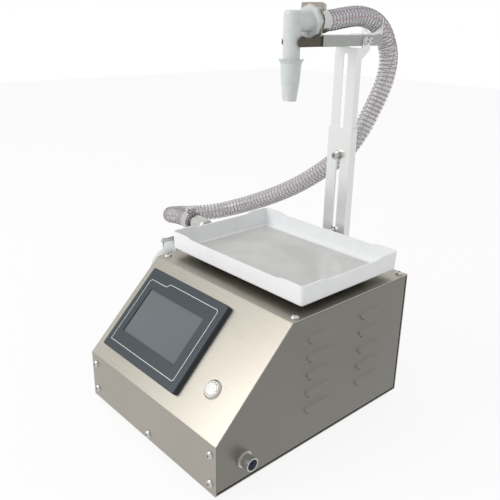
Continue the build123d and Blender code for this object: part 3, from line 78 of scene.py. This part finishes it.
# Delivery hose: clear PVC with a steel wire wound into its wall, and a red and a blue tracer line.
# It is held on the nozzle's spigot, rests in the cradle on the arm and ends on the pump's spigot.
# Its route is in millimetres from the casing's front edge, and its other sizes are in metres.
hose_route = [
    (0, 251, 462),
    (0, 272, 462),
    (0, 303, 466.5),
    (0, 335, 469.5),
    (0, 367, 463),
    (0, 390, 445),
    (1, 402, 417),
    (0, 398, 386),
    (-4, 383, 354),
    (-9, 367, 322),
    (-24, 353, 290),
    (-54, 350, 264),
    (-90, 340, 236),
    (-126, 329, 214),
    (-162, 318, 196),
    (-196, 304, 181),
    (-222, 284, 171),
    (-240, 262, 168),
    (-250, 240, 169),
    (-249, 217, 173),
    (-235, 202, 178),
    (-212, 198.6, 183.5),
    (-188, 198, 185),
    (-168, 198, 185),
]
hose_split = 6
route_resolution = 48
hose_outer = 0.0125
hose_inner = 0.0095
wall_step = 0.0025
wall_sides = 32
wire_pitch = 0.0058
wire_radius = 0.00062
wire_coil_radius = 0.0117
steps_per_turn = 18
thread_sides = 6
tracer_radius = 0.0006
tracer_angles = (3.8, 2.9)
hose_never_takes = (0.6, 0.0, -0.8)


def srgb(code):
    """An sRGB hex colour as linear red, green, blue and alpha, each through the sRGB curve."""
    channels = [int(code[place:place + 2], 16) / 255 for place in (0, 2, 4)]
    return [c / 12.92 if c <= 0.04045 else ((c + 0.055) / 1.055) ** 2.4 for c in channels] + [1.0]


def add_node(tree, kind, *values, settings=None, **sockets):
    """Adds a node with its settings. Values and links go to its sockets in order, or by name."""
    node = tree.nodes.new(kind)
    for name, value in (settings or {}).items():
        setattr(node, name, value)
    named = {name.replace("_", " "): value for name, value in sockets.items()}
    for place, value in [*enumerate(values), *named.items()]:
        if isinstance(value, bpy.types.NodeSocket):
            tree.links.new(value, node.inputs[place])
        else:
            node.inputs[place].default_value = value
    return node


def new_material(name):
    """An empty material, its node tree, its output node and the object's own coordinates."""
    material = bpy.data.materials.new(name)
    material.use_nodes = True
    tree = material.node_tree
    tree.nodes.clear()
    output = tree.nodes.new("ShaderNodeOutputMaterial")
    return material, tree, output, add_node(tree, "ShaderNodeTexCoord").outputs["Object"]


def hose_points(route):
    """Points in metres along the smooth line that has the route as its control points."""
    curve = bpy.data.curves.new("route", "CURVE")
    curve.dimensions = "3D"
    curve.resolution_u = route_resolution
    spline = curve.splines.new("NURBS")
    spline.points.add(len(route) - 1)
    for point, place in zip(spline.points, route):
        point.co = (*(casing + Vector(place) / 1000), 1)
    spline.order_u = 3
    spline.use_endpoint_u = True
    holder = bpy.data.objects.new("route", curve)
    line = bpy.data.meshes.new_from_object(holder)
    points = np.empty(len(line.vertices) * 3)
    line.vertices.foreach_get("co", points)
    bpy.data.objects.remove(holder)
    return points.reshape(-1, 3)


def along(points, step):
    """The line's points at an even step: distance, place, tangent and two directions across it.

    The first direction across is the tangent crossed with a fixed direction that the hose never
    takes, and the second is the tangent crossed with the first."""
    lengths = np.linalg.norm(np.diff(points, axis=0), axis=1)
    distance = np.concatenate([[0], np.cumsum(lengths)])
    even = np.linspace(0, distance[-1], int(distance[-1] / step) + 1)
    place = np.stack([np.interp(even, distance, points[:, axis]) for axis in range(3)], axis=1)
    tangent = np.gradient(place, axis=0)
    tangent /= np.linalg.norm(tangent, axis=1, keepdims=True)
    across = np.cross(tangent, np.array(hose_never_takes))
    across /= np.linalg.norm(across, axis=1, keepdims=True)
    return even, place, tangent, across, np.cross(tangent, across)


def ring_faces(rings, sides, closed):
    """Quads between rings of points. If closed, the last ring is joined to the first.

    Open ends are capped with quads that fan out from the ring's first point."""
    ring = np.arange(rings if closed else rings - 1)[:, None]
    side = np.arange(sides)[None, :]
    here = ring * sides
    following = (ring + 1) % rings * sides
    beside = (side + 1) % sides
    corners = [here + side, following + side, following + beside, here + beside]
    quads = [np.stack(corners, axis=-1).reshape(-1, 4)]
    if not closed:
        fan = np.array([(0, k + 1, k + 2, k + 3) for k in range(0, sides - 2, 2)])
        quads += [fan[:, ::-1], fan + (rings - 1) * sides]
    return np.concatenate(quads)


def hose_wall(place, across, other):
    """Closed tube wall: rings at the outer radius along the line, then back along the inner one.

    Point = place + radius (cos a across + sin a other), and the two end rings close the wall."""
    a = np.linspace(0, 2 * pi, wall_sides, endpoint=False)[None, :, None]
    circle = np.cos(a) * across[:, None] + np.sin(a) * other[:, None]
    outside = place[:, None] + hose_outer * circle
    inside = place[:, None] + hose_inner * circle
    rings = np.concatenate([outside, inside[::-1]])
    return rings.reshape(-1, 3), ring_faces(len(rings), wall_sides, True)


def hose_thread(even, place, tangent, across, other, turn_pitch, start_angle, radius):
    """A thin round thread in the wall: centre = place + coil radius (cos t across + sin t other),
    with t = start_angle + 2 pi distance / pitch, or t = start_angle where the pitch is 0.

    Its section is round, in the plane of the coil's radius and the line across the thread."""
    t = (start_angle + (2 * pi * even / turn_pitch if turn_pitch else 0 * even))[:, None]
    outward = np.cos(t) * across + np.sin(t) * other
    centre = place + wire_coil_radius * outward
    sideways = tangent if turn_pitch else np.cross(tangent, outward)
    a = np.linspace(0, 2 * pi, thread_sides, endpoint=False)[None, :, None]
    section = np.cos(a) * outward[:, None] + np.sin(a) * sideways[:, None]
    rings = centre[:, None] + radius * section
    return rings.reshape(-1, 3), ring_faces(len(rings), thread_sides, False)


def mesh_piece(name, parts, materials, smooth=True):
    """One object from several grids of points and quads, each with its own material.

    A grid whose enclosed volume comes out negative is turned, so that its faces point outwards."""
    vertices, faces, indices, start = [], [], [], 0
    for index, (points, quads) in enumerate(parts):
        corner = points[quads] - points.mean(axis=0)
        sides = corner[:, 1:] - corner[:, :1]
        area = np.cross(sides[:, 0], sides[:, 1]) + np.cross(sides[:, 1], sides[:, 2])
        if (corner[:, 0] * area).sum() < 0:
            quads = quads[:, ::-1]
        vertices.append(points)
        faces.append(quads + start)
        indices.append(np.full(len(quads), index))
        start += len(points)
    faces = np.concatenate(faces)
    mesh = bpy.data.meshes.new(name)
    mesh.from_pydata(np.concatenate(vertices).tolist(), [], faces.tolist())
    for material in materials:
        mesh.materials.append(material)
    mesh.polygons.foreach_set("material_index", np.concatenate(indices).astype(np.int32))
    mesh.polygons.foreach_set("use_smooth", np.full(len(faces), smooth))
    mesh.update()
    piece = bpy.data.objects.new(name, mesh)
    bpy.context.scene.collection.objects.link(piece)
    return piece


# Clear PVC, extruded: it shows what is behind it, slightly milky, with a soft wet shine
hose_pvc, tree, output, coordinates = new_material("clear_extruded_pvc")
haze = add_node(tree, "ShaderNodeTexNoise", Vector=coordinates, Scale=90.0, Detail=2.0).outputs["Fac"]
tint = add_node(tree, "ShaderNodeMixRGB", haze, srgb("D2CCD0"), srgb("E6E0E4")).outputs[0]
wall = add_node(
    tree, "ShaderNodeBsdfPrincipled", Base_Color=tint, Roughness=0.14, IOR=1.53, Alpha=0.34,
    Coat_Weight=0.3, Coat_Roughness=0.08,
)
tree.links.new(wall.outputs[0], output.inputs[0])
# Spring steel wire, drawn: grey and bright, with faint die marks along it
hose_wire, tree, output, coordinates = new_material("drawn_spring_steel_wire")
marks = add_node(tree, "ShaderNodeTexNoise", Vector=coordinates, Scale=1400.0, Detail=1.0).outputs["Fac"]
tint = add_node(tree, "ShaderNodeMixRGB", marks, srgb("55565A"), srgb("87888C")).outputs[0]
steel = add_node(tree, "ShaderNodeBsdfPrincipled", Base_Color=tint, Metallic=0.85, Roughness=0.35)
tree.links.new(steel.outputs[0], output.inputs[0])
# Pigmented PVC of the tracer lines, extruded with the wall and seen through it
tracers = []
for name, dark, light in (
    ("red_pigmented_pvc", "B4606C", "CC8890"),
    ("blue_pigmented_pvc", "3C4668", "5C6688"),
):
    tracer, tree, output, coordinates = new_material(name)
    streak = add_node(tree, "ShaderNodeTexNoise", Vector=coordinates, Scale=160.0, Detail=1.0)
    tint = add_node(tree, "ShaderNodeMixRGB", streak.outputs["Fac"], srgb(dark), srgb(light)).outputs[0]
    pigment = add_node(tree, "ShaderNodeBsdfPrincipled", Base_Color=tint, Roughness=0.4, IOR=1.53)
    tree.links.new(pigment.outputs[0], output.inputs[0])
    tracers.append(tracer)

split_point = [(a + b) / 2 for a, b in zip(hose_route[hose_split - 1], hose_route[hose_split])]
upper_line = hose_points(hose_route[:hose_split] + [split_point])
lower_line = hose_points([split_point] + hose_route[hose_split:])
for name, node, line, path, first, first_end, second, second_start in (
    ("hose_over_arm", "delivery_hose_upper", upper_line, upper_line,
     "mast", (0, 0.35, 0.462), "nozzle_arm", (0, 0.262, 0.462)),
    ("hose_to_pump", "delivery_hose_lower", lower_line, lower_line[::-1],
     "base", (0, 0.36, 0.19), "mast", (0, 0.36, 0.43)),
):
    coarse = along(line, wall_step)
    fine = along(line, wire_pitch / steps_per_turn)
    parts = [hose_wall(coarse[1], *coarse[3:]), hose_thread(*fine, wire_pitch, 0.0, wire_radius)]
    parts += [hose_thread(*coarse, 0, angle, tracer_radius) for angle in tracer_angles]
    hose = mesh_piece(name, parts, [hose_pvc, hose_wire, *tracers])
    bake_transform(hose)
    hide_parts(node)

# Casing: a front cover, two side panels, a rear panel and a base plate, of 1.5 mm stainless sheet,
# bent and screwed together. The sheet is brushed along the length of each panel, so fine streaks
# run across the front and the slope, and from front to back on the sides.
streak_share = 0.7
cloud_share = 0.3
brushed_across = (14, 1700, 1700)
brushed_lengthwise = (1700, 14, 1700)


def dress(material, *nodes):
    """Gives the material to CAD nodes."""
    for node in nodes:
        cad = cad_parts[node]
        if not cad.material_slots:
            cad.data.materials.append(material)
        for slot in cad.material_slots:
            slot.material = material


def brushed_sheet(name, dark, light, scale, roughness):
    """Brushed stainless: thin streaks, from noise that is stretched to 71 mm along the brushing.

    Brush lines are about 0.1 mm wide. They are drawn about 0.6 mm wide, 1700 in a metre, so that
    they show. Clouds of 0.1 m give the sheet its uneven shine."""
    material, tree, output, coordinates = new_material(name)
    stretched = add_node(tree, "ShaderNodeMapping", Vector=coordinates, Scale=scale).outputs[0]
    streaks = add_node(
        tree, "ShaderNodeTexNoise", Vector=stretched, Scale=1.0, Detail=4.0, Roughness=0.7
    ).outputs["Fac"]
    clouds = add_node(tree, "ShaderNodeTexNoise", Vector=coordinates, Scale=9.0, Detail=2.0).outputs["Fac"]
    weak_clouds = add_node(
        tree, "ShaderNodeMath", clouds, cloud_share, settings={"operation": "MULTIPLY"}
    ).outputs[0]
    both = add_node(
        tree, "ShaderNodeMath", streaks, streak_share, weak_clouds, settings={"operation": "MULTIPLY_ADD"}
    ).outputs[0]
    tint = add_node(tree, "ShaderNodeMixRGB", both, srgb(dark), srgb(light)).outputs[0]
    rough = add_node(
        tree, "ShaderNodeMapRange", Value=streaks, To_Min=roughness - 0.06, To_Max=roughness + 0.08
    ).outputs[0]
    bump = add_node(tree, "ShaderNodeBump", Strength=0.12, Distance=0.0002, Height=streaks).outputs[0]
    steel = add_node(
        tree, "ShaderNodeBsdfPrincipled", Base_Color=tint, Metallic=1.0, Roughness=rough, Normal=bump
    )
    tree.links.new(steel.outputs[0], output.inputs[0])
    return material


# Warm grey with a soft shine along the streaks. The sides and the rear are the same stainless, painted
# darker as painted shade
dress(brushed_sheet("stainless_brushed_across", "948F86", "B9B4AA", brushed_across, 0.34), "front_cover")
# Painted shade: the side panels get a darker copy of the front's stainless
dress(
    brushed_sheet("stainless_lengthwise_painted_shade", "6E6C67", "8E8C86", brushed_lengthwise, 0.34),
    "right_side_panel", "left_side_panel",
)
# Painted shade: the rear panel and the base plate get a darker copy of the stainless too
dress(
    brushed_sheet("stainless_back_painted_shade", "7C7973", "A09D96", brushed_across, 0.4),
    "rear_panel", "base_plate",
)

# Feet and fixings of all the sections: moulded rubber feet, domed stainless screws and bolts, and
# zinc-plated nuts, washers, standoffs, clamps and output shaft.


def plain_material(name, dark, light, scale, grain=0.0, **finish):
    """A material with a fine irregular tint, and if grain is given with a fine rough surface.

    Scale is the number of pattern cells in a metre: 1000 / the real grain in millimetres. Finish
    holds the shader's own values, such as its roughness."""
    material, tree, output, coordinates = new_material(name)
    noise = add_node(tree, "ShaderNodeTexNoise", Vector=coordinates, Scale=scale, Detail=3.0).outputs["Fac"]
    tint = add_node(tree, "ShaderNodeMixRGB", noise, srgb(dark), srgb(light)).outputs[0]
    surface = add_node(tree, "ShaderNodeBsdfPrincipled", Base_Color=tint, **finish)
    if grain:
        bump = add_node(tree, "ShaderNodeBump", Strength=grain, Distance=0.0002, Height=noise)
        tree.links.new(bump.outputs[0], surface.inputs["Normal"])
    tree.links.new(surface.outputs[0], output.inputs[0])
    return material


# Moulded rubber: nearly black and dull
dress(
    plain_material("black_moulded_rubber", "191A1A", "262727", 900, grain=0.2, Roughness=0.75, IOR=1.52),
    "rubber_feet",
)
# Stainless steel, cold-headed: bright, with a slightly uneven tint
dress(
    plain_material("stainless_domed_screws", "A6A6A4", "D2D2D0", 600, Roughness=0.2, Metallic=1.0),
    "cover_screws", "small_screws", "pump_screws", "arm_screws", "mast_bolts",
)
# Zinc plating: pale grey, with a satin shine
dress(
    plain_material("zinc_plated_steel", "9A9B99", "C0C1BF", 500, Roughness=0.3, Metallic=1.0),
    "mast_washers", "mast_nuts", "button_nut", "connector_nut", "board_standoffs", "motor_standoffs",
    "output_shaft", "elbow_locknut", "touchscreen_clamps",
)

# Touchscreen: an anodised bezel that stands 7 mm proud of the slope, a glass in its window and a
# plastic case behind it, held by two clamps under the sheet. A thin silver line is printed on the
# bezel. The line's corners are in millimetres across and up the slope.
frame_corners = [
    (-100, 28.5),
    (29, 28.5),
    (31, 30.5),
    (31, 119.5),
    (28.5, 122),
    (-62, 122),
    (-67, 117),
    (-97.5, 117),
    (-100, 114.5),
]
line_width = 0.7
line_bottom = 6.95
line_top = 7.06
slope_foot = 0.062
slope_axes = np.array([(1, 0, 0), (0, cos(pi / 4), sin(pi / 4)), (0, -sin(pi / 4), cos(pi / 4))])


def on_slope(points):
    """Places of points that are given in millimetres across the slope, up it and above it."""
    return np.array(casing + Vector((0, 0, slope_foot))) + points @ slope_axes / 1000


def frame_ring():
    """The printed line as rings of four points: outer and inner edge, at its bottom and its top.

    At a corner, the edge stands off by half the width times the sum of the two runs' normals,
    over one plus their dot product."""
    loop = np.array(frame_corners)
    runs = np.stack([loop - np.roll(loop, 1, axis=0), np.roll(loop, -1, axis=0) - loop])
    sideways = np.stack([-runs[..., 1], runs[..., 0]], axis=-1)
    sideways /= np.linalg.norm(sideways, axis=-1, keepdims=True)
    mitre = sideways.sum(axis=0) / (1 + sideways.prod(axis=0).sum(axis=-1, keepdims=True))
    outer = loop - mitre * line_width / 2
    inner = loop + mitre * line_width / 2
    edges = ((outer, line_bottom), (inner, line_bottom), (inner, line_top), (outer, line_top))
    return np.stack([np.insert(edge, 2, height, axis=1) for edge, height in edges], axis=1)


# Anodised metal: bluish black, with a fine grain
dress(
    plain_material("anodised_bezel", "2C3438", "3A4347", 1500, grain=0.25, Roughness=0.42, Metallic=0.35),
    "touchscreen_bezel",
)
# Moulded plastic: black, half matt
dress(
    plain_material("black_moulded_plastic", "17191A", "232526", 900, grain=0.15, Roughness=0.5, IOR=1.5),
    "touchscreen_case", "mains_inlet", "switch_housing",
)
# Glass over a screen that is off: plain grey, with a clear shine
dress(
    plain_material("unlit_display", "565D61", "5E6569", 40, Roughness=0.16, IOR=1.5, Coat_Weight=0.4),
    "touchscreen_glass",
)
# Screen-printed silver: pale, with a weak metal shine
printed = plain_material("silver_screen_print", "C6CACB", "D8DBDC", 800, Roughness=0.4, Metallic=0.3)
rings = on_slope(frame_ring())
frame_line = mesh_piece(
    "screen_frame_line", [(rings.reshape(-1, 3), ring_faces(len(rings), 4, True))], [printed], smooth=False
)
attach(frame_line, "base")

# Start button: a push button of turned stainless steel in the slope. Its cap slides in the ring,
# and a nut clamps the ring from inside. The turned faces are smooth and bright.
dress(
    plain_material("turned_stainless", "A5A39F", "CCCAC6", 700, Roughness=0.26, Metallic=1.0),
    "button_housing", "button_cap",
)

# Panel connector on the right side: a socket with a blue moulded insert in a barrel of brass, held
# by a nut inside the panel. The barrel's nickel plating is warm and bright.
dress(
    plain_material("nickel_plated_brass", "B4B2AE", "D4D2CE", 700, Roughness=0.34, Metallic=0.9),
    "connector_shell",
)
# Moulded plastic: blue, half matt
dress(
    plain_material("blue_moulded_insert", "24486E", "2F5880", 600, Roughness=0.45, IOR=1.5),
    "connector_insert",
)

# Weighing group: an aluminium load cell on its riser carries a black platform on a post, and the
# loose white tray lies on the platform. The tray's floor is painted grey as painted shade, below a
# height over its bottom and as far as between the two insets from the rim, all in metres.
scuff_top = 0.004
scuff_fade = 0.002
scuff_insets = (0.009, 0.013)
tray_low, tray_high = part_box("tray")
# Machined aluminium: cool grey and satin
dress(
    plain_material("machined_aluminium", "A9ABAD", "C6C8CA", 800, Roughness=0.38, Metallic=1.0),
    "load_cell", "load_cell_riser", "shaft_coupling",
)
# Powder coating: black, with a fine orange peel. The black also serves as painted shade for the dark gap
# under the tray
dress(
    plain_material("black_powder_coat_gap_shade", "141515", "202121", 1200, grain=0.3, Roughness=0.55, IOR=1.5),
    "weigh_post", "weigh_platform",
)
# Glazed steel: white with a soft shine, and painted grey on its floor as painted shade
tray_enamel = plain_material(
    "white_glazed_steel_tray", "E9EAEB", "F3F4F5", 60, grain=0.04, Roughness=0.32, IOR=1.5, Coat_Weight=0.2
)
tree = tray_enamel.node_tree
coordinates = add_node(tree, "ShaderNodeTexCoord").outputs["Object"]
place = add_node(tree, "ShaderNodeSeparateXYZ", Vector=coordinates)
# Painted shade: a mask for the tray's floor, below a height and inside the insets from the rim
scuffed = add_node(
    tree, "ShaderNodeMapRange", Value=place.outputs["Z"], From_Min=tray_low.z + scuff_top,
    From_Max=tray_low.z + scuff_top + scuff_fade, To_Min=1.0, To_Max=0.0,
).outputs[0]
for axis, name in enumerate("XY"):
    middle = (tray_high[axis] + tray_low[axis]) / 2
    half_side = (tray_high[axis] - tray_low[axis]) / 2
    shifted = add_node(
        tree, "ShaderNodeMath", place.outputs[name], middle, settings={"operation": "SUBTRACT"}
    ).outputs[0]
    distance = add_node(tree, "ShaderNodeMath", shifted, settings={"operation": "ABSOLUTE"}).outputs[0]
    inside = add_node(
        tree, "ShaderNodeMapRange", Value=distance, From_Min=half_side - scuff_insets[1],
        From_Max=half_side - scuff_insets[0], To_Min=1.0, To_Max=0.0,
    ).outputs[0]
    scuffed = add_node(
        tree, "ShaderNodeMath", scuffed, inside, settings={"operation": "MULTIPLY"}
    ).outputs[0]
# Painted shade: a mottled grey that the tray's floor gets in place of the white glaze
scuffs = add_node(tree, "ShaderNodeTexNoise", Vector=coordinates, Scale=45.0, Detail=4.0).outputs["Fac"]
grey = add_node(tree, "ShaderNodeMixRGB", scuffs, srgb("B4B4B2"), srgb("D0D0CE")).outputs[0]
surface = next(node for node in tree.nodes if node.type == "BSDF_PRINCIPLED")
glaze = surface.inputs["Base Color"].links[0].from_socket
tint = add_node(tree, "ShaderNodeMixRGB", scuffed, glaze, grey).outputs[0]
tree.links.new(tint, surface.inputs["Base Color"])
dress(tray_enamel, "tray")

# Electronics in the casing: the control board on its standoffs, green under its solder mask, the
# power supply in its cage of zinc-plated sheet, and the black moulded rocker of the power switch.
dress(
    plain_material("green_solder_mask", "1B4A2C", "246038", 500, Roughness=0.35, IOR=1.5, Coat_Weight=0.3),
    "control_board",
)
dress(
    plain_material("zinc_plated_cage", "8E908F", "B2B4B3", 250, Roughness=0.36, Metallic=1.0),
    "power_supply",
)
dress(plain_material("rocker_plastic", "1C1D1E", "282A2B", 900, Roughness=0.3, IOR=1.5), "power_switch")

# Gear pump on the left: two hardened gears on bronze bushes in a cast stainless body, driven through
# a coupling by a painted motor with its gearbox. A steel elbow is its outlet, and a milky one its
# inlet.
even_all_ways = (400, 400, 400)
# Cast and machined stainless: grey, with fine marks in no direction
dress(
    brushed_sheet("stainless_pump_casting", "8A8986", "B9B8B4", even_all_ways, 0.34),
    "pump_body", "pump_cover",
)
# Bronze: brown, with a dull shine
dress(plain_material("bronze_bushes", "8A6638", "A98450", 700, Roughness=0.4, Metallic=1.0), "pump_bushes")
# Hardened steel: dark grey and smooth
dress(
    plain_material("hardened_gear_steel", "77797A", "9A9C9D", 700, Roughness=0.3, Metallic=1.0),
    "drive_gear", "driven_gear",
)
# Die-cast zinc: grey, with a cast grain
dress(
    plain_material("zinc_gearbox_casting", "86888A", "A2A4A6", 500, grain=0.2, Roughness=0.5, Metallic=0.9),
    "gearbox",
)
# Enamel on the motor's can: black, half glossy
dress(
    plain_material("black_motor_enamel", "17181A", "242527", 700, grain=0.1, Roughness=0.4, IOR=1.5),
    "pump_motor",
)
# Stainless steel of the elbow and the clamps: bright and smooth
dress(
    plain_material("bright_stainless_fittings", "B0B0AE", "D2D2D0", 600, Roughness=0.22, Metallic=1.0),
    "outlet_elbow", "outlet_clamp", "nozzle_clamp",
)

# Elbows and sleeve of moulded milky polypropylene: the suction elbow belongs to the pump, and the
# nozzle's elbow and its sleeve hang from the nozzle holder.
milky, tree, output, coordinates = new_material("milky_polypropylene")
# Translucent: light scatters a few millimetres deep, in clouds of about 8 mm, under a soft shine
clouds = add_node(tree, "ShaderNodeTexNoise", Vector=coordinates, Scale=120.0, Detail=2.0).outputs["Fac"]
tint = add_node(tree, "ShaderNodeMixRGB", clouds, srgb("D2D7D5"), srgb("E0E4E2")).outputs[0]
surface = add_node(
    tree, "ShaderNodeBsdfPrincipled", Base_Color=tint, Roughness=0.28, IOR=1.49,
    Subsurface_Weight=0.35, Subsurface_Radius=(0.004, 0.004, 0.004), Alpha=0.88,
)
tree.links.new(surface.outputs[0], output.inputs[0])
dress(milky, "suction_elbow", "nozzle_elbow", "nozzle_sleeve")

# Mast: a fixed channel bolted behind the casing, a sliding channel on it held by two bolts with nuts
# and washers, and the arm channel on top with the hose cradle, all of bent steel with a pale satin
# finish. The arm channel's steel is painted greyer, as painted shade.
dress(
    plain_material("pale_satin_steel", "DCDEDC", "EAEBEA", 350, Roughness=0.3, Metallic=0.75),
    "mast_lower", "mast_upper", "hose_cradle",
)
# Painted shade: the arm channel gets a greyer copy of the mast's steel
dress(
    plain_material("arm_channel_painted_shade", "949694", "AEB0AE", 350, Roughness=0.36, Metallic=0.8),
    "arm_channel",
)

# Nozzle holder: a steel bar that slides in the arm, painted dark brown as a painted reflection of
# dark surroundings, and a plate for the nozzle's elbow, its grey steel tinted brown as a painted
# reflection. Both have a dull metal shine.
# Painted reflection: the bar's dark brown stands in for the dark things that its side mirrors
dress(
    plain_material("nozzle_bar_painted_reflection", "4A453D", "645E54", 260, grain=0.15, Roughness=0.42, Metallic=0.9),
    "nozzle_bar",
)
# Painted reflection: the plate's brownish tint stands in for what its steel mirrors
dress(
    plain_material("nozzle_plate_painted_reflection", "8C867C", "A6A096", 260, grain=0.1, Roughness=0.36, Metallic=0.9),
    "nozzle_plate",
)

# Floor and light: a plain white floor, a large soft lamp at the front left and an
# even pale sky. The floor shows nearly white and keeps a soft shadow.
floor_half = 4.0
floor_white_share = 0.88
sky_light = 0.72
lamp_place = Vector((-0.8, -1.85, 1.55))
lamp_target = Vector((0, 0.15, 0.2))
lamp_size = 1.2
lamp_power = 25


def seen_or_mirrored(tree):
    """1 where the background is seen straight, mirrored or through clear parts, else 0."""
    seen = add_node(tree, "ShaderNodeLightPath").outputs
    shown = seen["Is Camera Ray"]
    for ray in ("Is Glossy Ray", "Is Transmission Ray"):
        shown = add_node(
            tree, "ShaderNodeMath", shown, seen[ray], settings={"operation": "MAXIMUM"}
        ).outputs[0]
    return shown


painted_board, tree, output, coordinates = new_material("white_studio_floor")
mottle = add_node(tree, "ShaderNodeTexNoise", Vector=coordinates, Scale=3.0, Detail=1.0).outputs["Fac"]
tint = add_node(tree, "ShaderNodeMixRGB", mottle, srgb("F2F2F2"), srgb("F6F6F6")).outputs[0]
matt = add_node(tree, "ShaderNodeBsdfDiffuse", Color=tint).outputs[0]
white = add_node(tree, "ShaderNodeEmission", Strength=1.0).outputs[0]
share = add_node(
    tree, "ShaderNodeMath", seen_or_mirrored(tree), floor_white_share, settings={"operation": "MULTIPLY"}
).outputs[0]
mix = add_node(tree, "ShaderNodeMixShader", share, matt, white)
tree.links.new(mix.outputs[0], output.inputs[0])
corners = floor_half * np.array([(-1, -1, 0), (1, -1, 0), (1, 1, 0), (-1, 1, 0)])
floor = mesh_piece("floor", [(corners, np.array([(0, 1, 2, 3)]))], [painted_board], smooth=False)

lamp_data = bpy.data.lights.new("key_lamp", "AREA")
lamp_data.shape = "SQUARE"
lamp_data.size = lamp_size
lamp_data.energy = lamp_power
lamp = bpy.data.objects.new("key_lamp", lamp_data)
aim = (casing + lamp_target - lamp_place).to_track_quat("-Z", "Y")
lamp.matrix_world = Matrix.Translation(lamp_place) @ aim.to_matrix().to_4x4()
bpy.context.scene.collection.objects.link(lamp)

sky = bpy.data.worlds.new("studio")
bpy.context.scene.world = sky
sky.use_nodes = True
tree = sky.node_tree
tree.nodes.clear()
output = tree.nodes.new("ShaderNodeOutputWorld")
level = add_node(tree, "ShaderNodeMapRange", Value=seen_or_mirrored(tree), To_Min=sky_light, To_Max=1.0)
light = add_node(tree, "ShaderNodeBackground", Color=srgb("FFFFFF"), Strength=level.outputs[0])
tree.links.new(light.outputs[0], output.inputs[0])
bpy.context.scene.view_settings.view_transform = "Standard"
